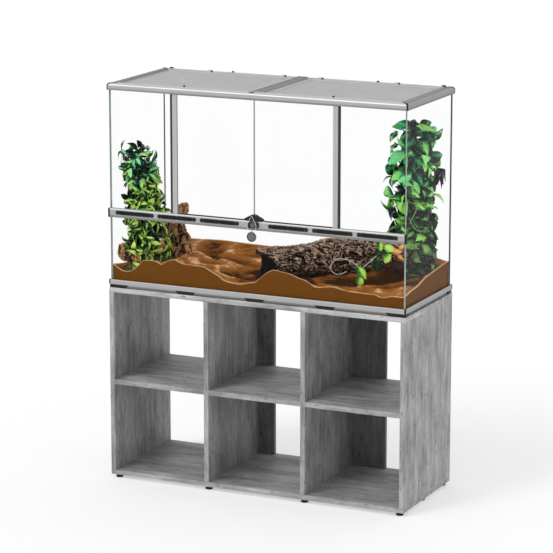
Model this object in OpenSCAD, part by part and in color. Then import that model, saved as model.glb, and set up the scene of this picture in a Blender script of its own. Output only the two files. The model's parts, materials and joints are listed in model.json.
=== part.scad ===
// Glass terrarium with hinged front doors and mesh lid, standing on a six-bay open cabinet.
// X runs to the right as seen from the front, the doors face -Y, and Z = 0 is the floor.
// The origin lies on the floor, in the middle of the whole outline.

/* [Cabinet] */
// Width of the cabinet and of the tank on it
cab_w = 1180; // [1000:10:1400]
// Depth of the cabinet and of the tank on it
cab_d = 450; // [380:10:600]
// Height of the carcass, without its glides
cab_h = 716; // [560:2:900]
// Thickness of every board
board_t = 18; // [16:1:22]
// Width of each upright back board
back_board_w = 216; // [120:2:260]
// How far a back board reaches into the middle bay
back_board_in = 64; // [40:2:90]
// Distance of the shelves' middle above the carcass' middle
shelf_rise = 0; // [-60:2:60]

/* [Glides] */
// Height of a glide
glide_h = 14; // [8:1:30]
// Diameter of a glide's foot
glide_d = 28; // [20:1:40]
// Distance of the glides from the side edges
glide_side = 23; // [20:1:60]
// Distance of the front and back glides from the carcass' edges
glide_front = 22; // [20:1:60]

/* [Fittings] */
// Diameter of the wooden dowels
dowel_d = 8; // [6:1:10]
// Length of the wooden dowels
dowel_l = 24; // [20:1:30]
// Shank diameter of the panel screws
screw_d = 6.6; // [5:0.2:7]
// Length of the panel screws
screw_l = 50; // [40:1:60]
// Clearance round a dowel, screw or glide pin
fit_gap = 0.15; // [0.05:0.05:0.3]

/* [Tank] */
// Height of the tank, from the cabinet's top to the lid's top
tank_h = 759; // [620:1:900]
// Thickness of the fixed panes
glass_t = 5; // [4:1:8]
// Thickness of the bottom pane
floor_t = 6; // [5:1:10]
// Distance of the panes' outer faces from the frame's outer faces
glass_in = 6; // [5:0.5:9]
// Width of the silicone seams
seam = 1; // [0.5:0.1:2]

/* [Frame] */
// Height of the base rails
rail_h = 28; // [24:1:40]
// Depth of the base rails
rail_d = 24; // [22:1:34]
// Height of the recessed foot under the base rails' face
rail_foot = 11; // [6:1:14]
// Setback of that foot behind the face
rail_set = 6; // [3:1:9]
// Wall of the aluminium sections
wall = 2; // [1.5:0.1:2.2]
// Thickness of the pads under the base rails
pad_t = 2; // [1:0.5:6]
// Width of a pad in the middle of the frame, at its top
pad_w = 82; // [50:2:120]
// Distance between the front pads
pad_pitch = 278; // [200:2:340]
// Length of the corner pads' arms
pad_arm = 76; // [50:2:110]
// Thickness of the black plates in the frame's mitred corners
corner_t = 3; // [2:0.5:5]
// How far the corner plates stand proud of the rails
corner_out = 1; // [0.5:0.1:2]

/* [Ventilation bar] */
// Height of the bar's lower edge above the cabinet
vent_up = 264; // [180:1:340]
// Height of the bar
vent_h = 33; // [28:1:45]
// Gap between two grilles
grille_gap = 18; // [12:1:40]
// Height of one grille
grille_h = 13; // [9:0.5:16]
// Number of grilles on each side of the lock
grille_n = 3; // [2:1:3]
// Slots in one grille
grille_slots = 14; // [8:1:18]

/* [Doors] */
// Distance of the hinge axes from the middle
hinge_x = 321; // [280:1:360]
// Width of the hinge sections
hinge_w = 20; // [18:1:26]
// Diameter of the hinge sections' round bead
hinge_t = 12; // [11:0.5:13]
// Diameter of the hinge pins
pin_d = 4; // [3:0.5:5]
// Thickness of the door panes
door_t = 4; // [4:0.5:5]
// Gap between the doors
door_gap = 2; // [1:0.5:4]
// Reach of each pull from the middle
pull_w = 38; // [30:1:50]
// Height of the pulls
pull_h = 23; // [20:1:30]

/* [Lock and key] */
// Width of the lock housing
lock_w = 40; // [36:1:50]
// Height of the lock housing
lock_h = 21; // [20:0.5:24]
// Depth of the lock housing
lock_t = 7; // [7:0.5:9]
// Diameter of the turning barrel
barrel_d = 16; // [15:0.5:17]
// Travel of the bolt
bolt_travel = 9; // [6:0.5:10]
// Thickness of the key loop's wire
wire_d = 1.6; // [1.2:0.1:2]
// Height of the key loop, from peg to fob
loop_h = 52; // [44:1:60]
// Diameter of the round fob
fob_d = 37; // [30:1:44]

/* [Lid] */
// Height of the lid frame
lid_h = 24.5; // [22:0.5:32]
// Width of the lid frame's sections
lid_w = 32; // [30:1:40]
// Radius of the lid frame's outer top edge
lid_r = 11; // [4:0.5:14]
// Width of the ledge that carries the mesh panels
ledge = 8; // [6:1:12]
// Width of the bar across the lid's middle
bar_w = 56; // [40:1:80]
// Thickness of the mesh panels' frames
mesh_t = 8; // [6:0.5:9]
// Width of the mesh panels' frames
mesh_edge = 12; // [10:1:20]
// Gap between a mesh panel and the lid frame
mesh_gap = 0.6; // [0.4:0.1:1]
// Pitch of the mesh across the panel
mesh_pitch = 31; // [26:1:60]
// Diameter of the hinge pins of the mesh panels
mesh_pin_d = 3; // [2:0.5:3]
// Distances of the mesh panels' hinges from the middle
mesh_hinges = [75, 378];
// Diameter of the mesh panels' finger knobs
knob_d = 9; // [7:0.5:12]

/* [Filling] */
// Height of the ground's hills, as a share of the modelled ones
hills = 1; // [0.7:0.05:1.2]
// Diameter of the hollow log in its middle
log_d = 128; // [100:2:150]
// Height of the cork bark above the ground
bark_h = 195; // [120:5:220]
// Diameter of the cork bark at its foot
bark_d = 104; // [80:2:130]
// Height of the left plant above the ground
plant_left_h = 450; // [300:5:480]
// Height of the right plant above the ground
plant_right_h = 545; // [400:5:580]
// Length of the largest leaves
leaf_l = 62; // [40:1:75]

/* [Hidden] */
$fn = 48;
e = 0.01;      // overshoot of a cut past the face it opens
touch = 0.3;   // running gap between neighbours that move or bend
mitre_play = 0.02;   // between a mitred rail's end and its corner plate

concrete = "#9a9b9a";
alu = "#c4c6c8";
black = "#1c1d1f";
clear_glass = [0.72, 0.86, 0.82, 0.3];

// --- places along X, Y and Z ---
half_w = cab_w / 2;
loop_front = 15;                            // reach of the key's peg before the cabinet's front
y_shift = (loop_front - corner_out) / 2;    // puts the origin in the middle of the outline
y_front = y_shift - cab_d / 2;
y_back = y_shift + cab_d / 2;
z_floor_panel = glide_h;
z_side = glide_h + board_t;
z_cab = glide_h + cab_h;
z_side_top = z_cab - board_t;
z_shelf = (z_side + z_side_top) / 2 + shelf_rise;   // middle of the shelves
bay_w = (cab_w - 4 * board_t) / 3;
divider_x = bay_w / 2 + board_t / 2;                // middle of the right divider
shelf_y1 = y_back - board_t;                        // back edge of shelves and dividers
post_x = [-half_w + board_t / 2, -divider_x, divider_x, half_w - board_t / 2];
fit_y = [y_front + 60, shelf_y1 - 70];              // dowel rows
screw_y = [y_front + 120, shelf_y1 - 130];          // screw rows
shelf_dowel_in = board_t / 2 - 2;                   // depth of a shelf dowel in its upright
screw_head_d = screw_d * 1.45;
screw_head_h = screw_d * 0.45;

z_rail = z_cab + pad_t;
z_rail_top = z_rail + rail_h;
z_ledge = z_rail + rail_foot + wall;                // the panes stand here
glass_x = half_w - glass_in;
glass_y0 = y_front + glass_in;
glass_y1 = y_back - glass_in;
in_x = glass_x - glass_t;
in_y0 = glass_y0 + glass_t;
in_y1 = glass_y1 - glass_t;
z_in = z_ledge + floor_t;
z_lid_top = z_cab + tank_h;
z_lid = z_lid_top - lid_h;
lid_slot = 5.5;                                     // depth of the lid's slot over the panes
z_glass_top = z_lid + lid_slot;
z_vent = z_cab + vent_up;
z_vent_top = z_vent + vent_h;
vent_rebate = 7.3;                                  // height of the lower pane's rebate in the bar
vent_roof = 5;                                      // wall over the bar's hollow, which holds pins

z_door = z_vent_top + 3;                            // lower edge of the door panes
z_door_top = z_lid - 1.5;
door_y0 = glass_y0;                                 // front face of the door panes
hinge_r = hinge_t / 2;
hinge_out = hinge_x + hinge_r;                      // outer side of a hinge section
hinge_in = hinge_out - hinge_w;                     // inner side, which grips the pane
hinge_y = door_y0 + door_t / 2;                     // middle plane of the hinge sections
hinge_grip = 8;
grip_wall = 1.8;                                    // cheeks of the channel that grips the pane
pane_edge_x = hinge_out + 3;                        // edge of the fixed pane beside a door
pin_in = 11.5;                                      // length of a pin inside the hinge section
run = 0.05;                                         // radial clearance of a pin or barrel
seat = 0.02;                                        // radial clearance of a pin's fixed end

pull_y0 = door_y0 - 12;                             // front face of the pulls at the middle
pull_floor = z_door - 2.2;
z_lock = z_vent + 9;
lock_y0 = y_front - lock_t;
lock_z = z_lock + lock_h / 2;
barrel_wall = 3.3;                                  // front wall of the housing, round the barrel
bolt_y0 = lock_y0 + barrel_wall + 0.2;
bolt_t = 3;
bolt_w = 20;
bolt_play = 0.9;                                    // clearance of the bolt in the pulls' pocket
crank_r = bolt_travel / sqrt(2);                    // pin circle that gives the travel in 90 degrees
crank_pin_d = 3;
peg_x = -3;
peg_z = z_vent_top + 17;
peg_d = 3;
loop_y = y_front - 10;
loop_r0 = peg_d / 2 + wire_d / 2 + 0.3;             // top bend of the loop, over the peg
bead_d = wire_d + 0.3;                              // soldered joints of the loop
loop_r1 = 18;                                       // bottom bend of the loop
loop_z1 = peg_z - loop_h + loop_r1;
loop_z_low = loop_z1 - loop_r1;                     // the fob hangs here
fob_t = 3;
lug_d = 5.6;

lid_floor = 8;                                      // height of the lid section's inner floor
z_mesh_top = z_lid_top - 2;
z_mesh = z_mesh_top - mesh_t;
lid_in_x = half_w - lid_w;
lid_in_y0 = y_front + lid_w;
lid_in_y1 = y_back - lid_w;
mesh_x0 = bar_w / 2 + mesh_gap;
mesh_x1 = lid_in_x - mesh_gap;
mesh_y0 = lid_in_y0 + mesh_gap;
mesh_y1 = lid_in_y1 - mesh_gap;
mesh_pin_y = lid_in_y1 + 4;
knuckle_r = mesh_pin_d / 2 + 1.2;
mesh_pin_z = z_lid_top + knuckle_r + touch;
knuckle_w = 8;
ear_t = 3;

// --- ground: heights above the floor pane along four rows, front to back ---
// Each point is [share of the width from the left, height].
ground_rows = [
    [[0, 66], [0.03, 45], [0.055, 42], [0.08, 56], [0.11, 92], [0.15, 94], [0.17, 80], [0.19, 94],
     [0.215, 107], [0.25, 92], [0.32, 90], [0.36, 68], [0.40, 42], [0.44, 38], [0.50, 50],
     [0.53, 82], [0.56, 104], [0.61, 97], [0.66, 80], [0.71, 55], [0.76, 63], [0.82, 52],
     [0.90, 50], [0.93, 41], [0.96, 50], [1, 50]],
    [[0, 52], [0.07, 38], [0.13, 60], [0.19, 72], [0.24, 64], [0.30, 66], [0.37, 44], [0.46, 34],
     [0.54, 58], [0.66, 68], [0.76, 64], [0.88, 58], [1, 60]],
    [[0, 60], [0.12, 62], [0.20, 78], [0.28, 68], [0.34, 74], [0.42, 56], [0.5, 58], [0.62, 92],
     [0.8, 94], [1, 86]],
    [[0, 88], [0.1, 92], [0.2, 96], [0.3, 93], [0.4, 90], [0.6, 86], [0.8, 96], [0.93, 112], [1, 97]]];
ground_at = [0, 0.22, 0.55, 1];             // depth of each row, as a share from the front
ground_nx = 64;
ground_ny = 18;
ground_gap = 0.3;                           // between the ground and the panes

function ease(t) = t * t * (3 - 2 * t);
function span(xs, x, i = 0) = i >= len(xs) - 2 || x <= xs[i + 1] ? i : span(xs, x, i + 1);
function share(a, b, x) = min(1, max(0, (x - a) / (b - a)));
function row_height(row, s) =
    let (xs = [for (p = row) p[0]], i = span(xs, s), t = share(xs[i], xs[i + 1], s))
    row[i][1] + (row[i + 1][1] - row[i][1]) * ease(t);
function ripple(s, t) = 2.2 * sin(2900 * s + 500 * t) * sin(180 * t) + 1.5 * sin(5200 * s) * t * (1 - t);
// Height of the ground above the floor pane, at shares s of the width and t of the depth.
function ground_h(s, t) =
    let (i = span(ground_at, t), f = ease(share(ground_at[i], ground_at[i + 1], t)))
    hills * (row_height(ground_rows[i], s) * (1 - f) + row_height(ground_rows[i + 1], s) * f
    + ripple(s, t));
function ground_z(x, y) =
    z_in + ground_h(share(-in_x, in_x, x), share(in_y0, in_y1, y));

// --- general shapes ---
module block(x, y, z) {
    translate([x[0], y[0], z[0]])
        cube([x[1] - x[0], y[1] - y[0], z[1] - z[0]]);
}

module rod_x(d, x, y, z) {
    translate([x[0], y, z]) rotate([0, 90, 0]) cylinder(d = d, h = x[1] - x[0]);
}

module rod_y(d, x, y, z) {
    translate([x, y[1], z]) rotate([90, 0, 0]) cylinder(d = d, h = y[1] - y[0]);
}

module rod_z(d, x, y, z) {
    translate([x, y, z[0]]) cylinder(d = d, h = z[1] - z[0]);
}

// A section drawn as (inward, up), run along X between two mitres, its outer face at y = 0.
module mitred_rail(length, depth, height, gap) {
    cut = gap * sqrt(2);
    intersection() {
        rotate([90, 0, 90])
            linear_extrude(height = length, center = true) children();
        translate([0, 0, -1])
            linear_extrude(height = height + 2)
                polygon([[-length / 2 + cut, 0], [length / 2 - cut, 0],
                         [length / 2 - cut - depth, depth], [-length / 2 + cut + depth, depth]]);
    }
}

module rail_on_side(side, z, depth, height) {
    // side: 0 front, 1 right, 2 back, 3 left
    length = side % 2 == 0 ? cab_w : cab_d;
    reach = side % 2 == 0 ? cab_d / 2 : half_w;
    translate([0, y_shift, z]) rotate([0, 0, 90 * side]) translate([0, -reach, 0])
        mitred_rail(length, depth, height, corner_t / 2 + mitre_play) children();
}

// The four black plates between mitred rails; children() is the rail's filled outline.
module corner_plates(z, depth, height) {
    big = corner_out;
    for (sx = [-1, 1], sy = [-1, 1])
        translate([0, y_shift, z]) scale_sign(sx, sy) intersection() {
            translate([half_w, cab_d / 2, 0]) rotate([0, 0, 45])
                translate([-2 * depth, -corner_t / 2, 0])
                    cube([2 * depth + 3, corner_t, height + big]);
            translate([-half_w, cab_d / 2 + big, 0]) rotate([90, 0, 90])
                mirror([1, 0, 0]) linear_extrude(height = cab_w + big) children();
            translate([half_w + big, -cab_d / 2, 0]) rotate([90, 0, 180])
                linear_extrude(height = cab_d + big) children();
        }
}

module scale_sign(sx, sy) {
    mirror([sx < 0 ? 1 : 0, 0, 0]) mirror([0, sy < 0 ? 1 : 0, 0]) children();
}

module on_right(side) {
    mirror([side < 0 ? 1 : 0, 0, 0]) children();
}

// --- cabinet ---
module upright_bores(extra) {
    // dowel and screw bores that join the uprights to the bottom and top panels
    for (x = post_x, y = fit_y) {
        rod_z(dowel_d + 2 * extra, x, y, [z_side - dowel_l / 2 - extra, z_side + dowel_l / 2 + extra]);
        rod_z(dowel_d + 2 * extra, x, y,
              [z_side_top - dowel_l / 2 - extra, z_side_top + dowel_l / 2 + extra]);
    }
    for (x = post_x, y = screw_y) {
        rod_z(screw_d + 2 * extra, x, y, [z_floor_panel - e, z_floor_panel + screw_l + extra]);
        rod_z(screw_head_d + 2 * extra, x, y, [z_floor_panel - e, z_floor_panel + screw_head_h]);
        rod_z(screw_d + 2 * extra, x, y, [z_cab - screw_l - extra, z_cab + e]);
        rod_z(screw_head_d + 2 * extra, x, y, [z_cab - screw_head_h, z_cab + e]);
    }
}

module shelf_bores(extra) {
    for (side = [-1, 1], y = fit_y) {
        for (edge = [bay_w / 2, bay_w / 2 + board_t, half_w - board_t]) {
            into_shelf = edge == bay_w / 2 + board_t ? 1 : -1;
            a = edge + into_shelf * (dowel_l - shelf_dowel_in + extra);
            b = edge - into_shelf * (shelf_dowel_in + extra);
            on_right(side) rod_x(dowel_d + 2 * extra, [min(a, b), max(a, b)], y, z_shelf);
        }
    }
}

module bottom_panel() {
    color(concrete) difference() {
        block([-half_w, half_w], [y_front, y_back], [z_floor_panel, z_side]);
        upright_bores(extra = fit_gap);
        for (x = glide_xs(), y = glide_ys())
            rod_z(5 + 2 * fit_gap, x, y, [z_floor_panel - e, z_floor_panel + 12 + fit_gap]);
    }
}

module top_panel() {
    color(concrete) difference() {
        block([-half_w, half_w], [y_front, y_back], [z_side_top, z_cab]);
        upright_bores(extra = fit_gap);
    }
}

module upright(x, y1) {
    color(concrete) difference() {
        block([x - board_t / 2, x + board_t / 2], [y_front, y1], [z_side, z_side_top]);
        upright_bores(extra = fit_gap);
        shelf_bores(extra = fit_gap);
    }
}

module side_panel_left() upright(post_x[0], y_back);
module divider_left() upright(post_x[1], shelf_y1);
module divider_right() upright(post_x[2], shelf_y1);
module side_panel_right() upright(post_x[3], y_back);

module shelf(bay) {
    color(concrete) difference() {
        block([bay * (bay_w + board_t) - bay_w / 2, bay * (bay_w + board_t) + bay_w / 2],
              [y_front, shelf_y1], [z_shelf - board_t / 2, z_shelf + board_t / 2]);
        shelf_bores(extra = fit_gap);
    }
}

module shelf_left() shelf(-1);
module shelf_middle() shelf(0);
module shelf_right() shelf(1);

module back_board(side) {
    x0 = bay_w / 2 - back_board_in;
    color(concrete) on_right(side)
        block([x0, x0 + back_board_w], [shelf_y1, y_back], [z_side, z_side_top]);
}

module back_board_left() back_board(-1);
module back_board_right() back_board(1);

function glide_xs() = [-half_w + glide_side, post_x[1], post_x[2], half_w - glide_side];
function glide_ys() = [y_front + glide_front, y_shift, y_back - glide_front];

module furniture_glides() {
    color(black) for (x = glide_xs(), y = glide_ys()) translate([x, y, 0]) {
        rotate_extrude() polygon([[0, 0], [glide_d / 2 - 2, 0], [glide_d / 2, 2],
            [glide_d / 2, 4.5], [glide_d / 2 - 2.5, 6], [glide_d / 2 - 2.5, glide_h],
            [2.5, glide_h], [2.5, glide_h + 12], [0, glide_h + 12]]);
    }
}

module panel_dowels() {
    color("#d8b888") {
        for (x = post_x, y = fit_y, z = [z_side, z_side_top])
            rod_z(dowel_d, x, y, [z - dowel_l / 2, z + dowel_l / 2]);
        shelf_bores(extra = 0);
    }
}

module panel_screws() {
    color("#a8a8a4") for (x = post_x, y = screw_y, up = [0, 1])
        translate([x, y, up == 1 ? z_cab : z_floor_panel]) mirror([0, 0, up]) difference() {
            union() {
                cylinder(d = screw_head_d, h = screw_head_h);
                cylinder(d = screw_d, h = screw_l);
            }
            translate([0, 0, -e]) cylinder(d = screw_d * 0.6, h = screw_d * 0.3, $fn = 6);
        }
}

// --- base frame of the tank ---
module base_section() {
    polygon([[0, rail_foot], [rail_set, rail_foot], [rail_set, 0], [rail_d, 0], [rail_d, wall],
             [rail_set + wall, wall], [rail_set + wall, rail_foot], [rail_d, rail_foot],
             [rail_d, rail_foot + wall], [wall, rail_foot + wall], [wall, rail_h - wall],
             [glass_in - touch, rail_h - wall], [glass_in - touch, rail_h],
             [1.5, rail_h], [0, rail_h - 1.5]]);
}

module base_outline() {
    foot = rail_set + corner_out;
    polygon([[0, rail_foot], [foot, rail_foot], [foot, 0], [rail_d, 0],
             [rail_d, rail_foot + wall], [glass_in + corner_out - touch, rail_foot + wall],
             [glass_in + corner_out - touch, rail_h + corner_out], [2, rail_h + corner_out],
             [0, rail_h + corner_out - 2]]);
}

module base_rail(side) {
    color(alu) rail_on_side(side, z_rail, rail_d, rail_h) base_section();
}

module base_rail_front() base_rail(0);
module base_rail_right() base_rail(1);
module base_rail_back() base_rail(2);
module base_rail_left() base_rail(3);

module base_corner_plates() {
    color(black) corner_plates(z_rail, rail_d, rail_h) base_outline();
}

// One pad: a sole under the rail's foot and a sloping apron before it.
module pad(x, width) {
    front = y_front + rail_set - 4;
    taper = rail_foot + pad_t;
    translate([x, 0, z_cab]) {
        translate([-width / 2 + taper, front + touch, 0])
            cube([width - 2 * taper, rail_d + 4 - rail_set, pad_t]);
        translate([0, y_front + rail_set, 0]) rotate([90, 0, 0])
            linear_extrude(height = 4 - touch)
                polygon([[-width / 2 + taper, 0], [width / 2 - taper, 0],
                         [width / 2, taper], [-width / 2, taper]]);
    }
}

module tank_pads() {
    color(black) {
        for (sy = [0, 1], i = [-1, 0, 1])
            translate([0, sy * 2 * y_shift, 0]) mirror([0, sy, 0]) pad(i * pad_pitch, pad_w);
        for (sx = [-1, 1], sy = [-1, 1]) corner_pad(sx, sy);
    }
}

module corner_pad(sx, sy) {
    x1 = half_w - rail_set + 4 - touch;
    y1 = cab_d / 2 - rail_set + 4 - touch;
    taper = rail_foot + pad_t;
    translate([0, y_shift, z_cab]) scale_sign(sx, sy) {
        difference() {
            translate([x1 - pad_arm + taper, y1 - 42 + taper, 0])
                cube([pad_arm - taper, 42 - taper, pad_t]);
            translate([x1 - pad_arm, y1 - 42, -1])
                cube([pad_arm - rail_d, 42 - rail_d, pad_t + 2]);
        }
        translate([0, y1, 0]) rotate([90, 0, 0]) linear_extrude(height = 4 - touch)
            polygon([[x1 - pad_arm + taper, 0], [x1, 0], [x1, taper], [x1 - pad_arm, taper]]);
        translate([x1 - 4 + touch, 0, 0]) rotate([90, 0, 90]) linear_extrude(height = 4 - touch)
            polygon([[y1 - 42 + taper, 0], [y1, 0], [y1, taper], [y1 - 42, taper]]);
    }
}

// --- panes ---
module floor_pane() {
    color(clear_glass)
        block([-in_x, in_x], [in_y0, in_y1], [z_ledge, z_in]);
}

module back_pane() {
    color(clear_glass)
        block([-glass_x, glass_x], [in_y1, glass_y1], [z_ledge, z_glass_top]);
}

module side_pane(side) {
    color(clear_glass) on_right(side)
        block([in_x, glass_x], [in_y0 + seam, in_y1 - seam], [z_ledge, z_glass_top]);
}

module side_pane_left() side_pane(-1);
module side_pane_right() side_pane(1);

module front_pane_lower() {
    color(clear_glass)
        block([-glass_x, glass_x], [glass_y0, in_y0], [z_ledge, z_vent + vent_rebate - touch]);
}

module front_pane(side) {
    color(clear_glass) on_right(side)
        block([pane_edge_x, glass_x], [glass_y0, in_y0], [z_vent_top + seam, z_glass_top]);
}

module front_pane_left() front_pane(-1);
module front_pane_right() front_pane(1);

module silicone_seams() {
    color([0.3, 0.33, 0.32, 0.8]) for (side = [-1, 1]) on_right(side) {
        block([in_x, glass_x], [in_y0, in_y0 + seam], [z_ledge, z_vent]);
        block([in_x, glass_x], [in_y0, in_y0 + seam], [z_vent_top + seam, z_glass_top]);
        block([in_x, glass_x], [in_y1 - seam, in_y1], [z_ledge, z_glass_top]);
        block([pane_edge_x, glass_x], [glass_y0, in_y0], [z_vent_top, z_vent_top + seam]);
    }
}

// A dark U-shaped seal on the free edge of each fixed front pane, and a strip under each door.
module pane_edge_seals() {
    color("#39403d") for (side = [-1, 1]) on_right(side) {
        difference() {
            block([hinge_out + 0.5, pane_edge_x + 4], [glass_y0 - 0.8, in_y0 + 0.8],
                  [z_vent_top + seam, z_lid - 0.5]);
            block([pane_edge_x, pane_edge_x + 5], [glass_y0, in_y0], [z_vent_top, z_lid]);
        }
        block([pull_w + 2, hinge_in - 1], [door_y0, door_y0 + door_t], [z_vent_top, z_door - touch]);
    }
}

// --- ventilation bar ---
module vent_outline() {
    // drawn as (inward, up)
    difference() {
        square([glass_in + glass_t - touch, vent_h]);
        translate([0, vent_h]) rotate(-90) edge_cut(2);
        edge_cut(2);
    }
}

module edge_cut(r) {
    // what a rounding of radius r takes off the corner at the origin
    translate([-e, -e]) difference() {
        square(r + e);
        translate([r + e, r + e]) circle(r);
    }
}

module vent_section() {
    difference() {
        vent_outline();
        // rebate that seats the lower pane's top edge
        translate([glass_in - touch, -1]) square([glass_t + 2, vent_rebate + 1]);
        // hollow behind the grilles
        translate([wall, vent_rebate + wall + 1])
            square([glass_in + glass_t - touch - 2 * wall, vent_h - vent_rebate - wall - 1 - vent_roof]);
    }
}

module vent_run(x1) {
    translate([0, y_front, z_vent]) rotate([90, 0, 90])
        linear_extrude(height = 2 * x1, center = true) children();
}

grille_from = lock_w / 2 + 30;              // the grilles' run starts beside the lock
grille_to = half_w - 24;                    // and ends before the bar's end cap
grille_pitch = (grille_to - grille_from) / grille_n;
grille_l = grille_pitch - grille_gap;
grille_z = z_vent + 19;
function grille_xs() = [for (s = [-1, 1], i = [0:grille_n - 1])
    s * (grille_from + (i + 0.5) * grille_pitch)];

module grille_outline(grow) {
    // long bar with a round lobe at each end
    square([grille_l - grille_h, grille_h - 2 + 2 * grow], center = true);
    for (s = [-1, 1]) translate([s * (grille_l - grille_h) / 2, 0])
        circle(d = grille_h + 2 * grow);
}

module vent_bar() {
    color(alu) difference() {
        vent_run(half_w - corner_t) vent_section();
        for (x = grille_xs()) translate([x, y_front + 20, grille_z]) rotate([90, 0, 0])
            linear_extrude(height = 25) grille_outline(fit_gap);
        // holes for the doors' lower hinge pins
        for (side = [-1, 1]) rod_z(pin_d + 2 * seat, side * hinge_x, hinge_y,
                                   [z_vent_top - vent_roof, z_vent_top + 1]);
    }
}

module vent_bar_caps() {
    color(black) for (side = [-1, 1]) on_right(side)
        translate([half_w - corner_t / 2, 0, 0]) vent_run(corner_t / 2) vent_outline();
}

module vent_grilles() {
    pitch = (grille_l - 2 * grille_h) / grille_slots;
    color(black) for (x = grille_xs()) translate([x, y_front - 1, grille_z]) rotate([-90, 0, 0])
        difference() {
            linear_extrude(height = 4) grille_outline(0);
            for (i = [0:grille_slots - 1])
                translate([(i - (grille_slots - 1) / 2) * pitch, 0, -1])
                    linear_extrude(height = 6) square([pitch * 0.45, grille_h - 6], center = true);
            // shallow step at mid-length
            translate([-1, -grille_h, -e]) cube([2, 2 * grille_h, 0.8]);
        }
}

// --- doors ---
module door_pane(side) {
    color(clear_glass) on_right(side)
        block([door_gap / 2, hinge_in + hinge_grip - 0.3], [door_y0, door_y0 + door_t],
              [z_door, z_door_top]);
}

module door_pane_left() door_pane(-1);
module door_pane_right() door_pane(1);

module hinge_section(side) {
    color(alu) on_right(side) difference() {
        translate([0, 0, z_vent_top + 1.5]) linear_extrude(height = z_door_top - z_vent_top - 1.5)
            difference() {
                union() {
                    translate([hinge_x, hinge_y]) circle(hinge_r);
                    translate([hinge_in, door_y0 - grip_wall])
                        square([hinge_w - hinge_r, door_t + 2 * grip_wall]);
                }
                translate([hinge_in - 1, door_y0]) square([hinge_grip + 1, door_t]);
            }
        for (z = [[z_vent_top + 1, z_vent_top + 1.5 + pin_in], [z_door_top - pin_in, z_door_top + 1]])
            rod_z(pin_d + 2 * run, hinge_x, hinge_y, z);
    }
}

module hinge_section_left() hinge_section(-1);
module hinge_section_right() hinge_section(1);

module door_hinge_pins() {
    color("#8d9093") for (side = [-1, 1]) {
        rod_z(pin_d, side * hinge_x, hinge_y, [z_vent_top - vent_roof, z_vent_top + 1.5 + pin_in - 0.5]);
        rod_z(pin_d, side * hinge_x, hinge_y, [z_door_top - pin_in + 0.5, z_lid + lid_floor + wall]);
    }
}

// Black pull clamped on the lower inner corner of a door: front view cut to the top view.
module door_pull(side) {
    x0 = door_gap / 2 - 0.5;
    top = pull_floor + pull_h;
    color(black) on_right(side) difference() {
        intersection() {
            translate([0, door_y0 + door_t + 3, 0]) rotate([90, 0, 0]) linear_extrude(height = 30)
                polygon([[x0, pull_floor], [pull_w - 2, pull_floor], [pull_w, pull_floor + 4],
                         [pull_w - 3, pull_floor + 8], [8, top - 1], [x0, top]]);
            translate([0, 0, pull_floor - 1]) linear_extrude(height = pull_h + 2)
                polygon([[x0, door_y0 + door_t + 3], [x0, pull_y0], [12, pull_y0],
                         [pull_w, door_y0 - 5], [pull_w, door_y0 + door_t + 3]]);
        }
        // the pane's corner
        block([x0 - 1, pull_w + 1], [door_y0, door_y0 + door_t], [z_door, top + 1]);
        // pocket that takes the lock's bolt
        block([x0 - 1, bolt_w / 2 + bolt_play], [bolt_y0 - bolt_play, bolt_y0 + bolt_t + bolt_play],
              [pull_floor - 1, z_lock + lock_h + bolt_travel + 1]);
        // finger hollow under the sloping front
        translate([pull_w - 17, pull_y0 - 2, pull_floor - 3]) rotate([0, 0, 14])
            cube([13, 6, 9]);
    }
}

module door_pull_left() {
    door_pull(-1);
    // peg on the left pull, from which the key hangs
    color(black) {
        rod_y(peg_d, peg_x, [y_front - loop_front + 1, pull_y0 + 1], peg_z);
        rod_y(peg_d + 2.4, peg_x, [y_front - loop_front, y_front - loop_front + 1.2], peg_z);
    }
}

module door_pull_right() door_pull(1);

// --- lock and key ---
module lock_housing() {
    color(black) difference() {
        translate([0, y_front, lock_z]) rotate([90, 0, 0]) linear_extrude(height = lock_t)
            round_rect(lock_w, lock_h, 3);
        rod_y(barrel_d + 2 * run, 0, [lock_y0 - 1, lock_y0 + barrel_wall + 0.2], lock_z);
        block([-bolt_w / 2 - 0.2, bolt_w / 2 + 0.2], [bolt_y0 - 0.2, bolt_y0 + bolt_t + 0.2],
              [z_lock - 1, z_lock + lock_h + 1]);
    }
}

module round_rect(w, h, r) {
    for (x = [-1, 1], y = [-1, 1]) translate([x * (w / 2 - r), y * (h / 2 - r)]) circle(r);
    square([w - 2 * r, h], center = true);
    square([w, h - 2 * r], center = true);
}

module lock_barrel() {
    color("#6f7276") difference() {
        union() {
            rod_y(barrel_d, 0, [lock_y0 - 0.6, lock_y0 + barrel_wall], lock_z);
            rod_y(crank_pin_d, crank_r * cos(45), [lock_y0, bolt_y0 + bolt_t - 0.2],
                  lock_z - crank_r * sin(45));
        }
        // keyway
        block([-0.8, 0.8], [lock_y0 - 1, lock_y0 + 2], [lock_z - 3.2, lock_z + 3.2]);
        rod_y(3.4, 0, [lock_y0 - 1, lock_y0 + 2], lock_z);
    }
}

module lock_bolt() {
    slot_z = lock_z - crank_r * sin(45);
    color("#8d9093") difference() {
        block([-bolt_w / 2, bolt_w / 2], [bolt_y0, bolt_y0 + bolt_t],
              [z_lock + 0.5, z_lock + lock_h - 0.5]);
        // slot for the barrel's crank pin, open at one side
        block([crank_r * cos(45) - crank_pin_d / 2 - touch, bolt_w / 2 + 1],
              [bolt_y0 - 1, bolt_y0 + bolt_t + 1],
              [slot_z - crank_pin_d / 2 - 0.45, slot_z + crank_pin_d / 2 + 0.45]);
    }
}

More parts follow.
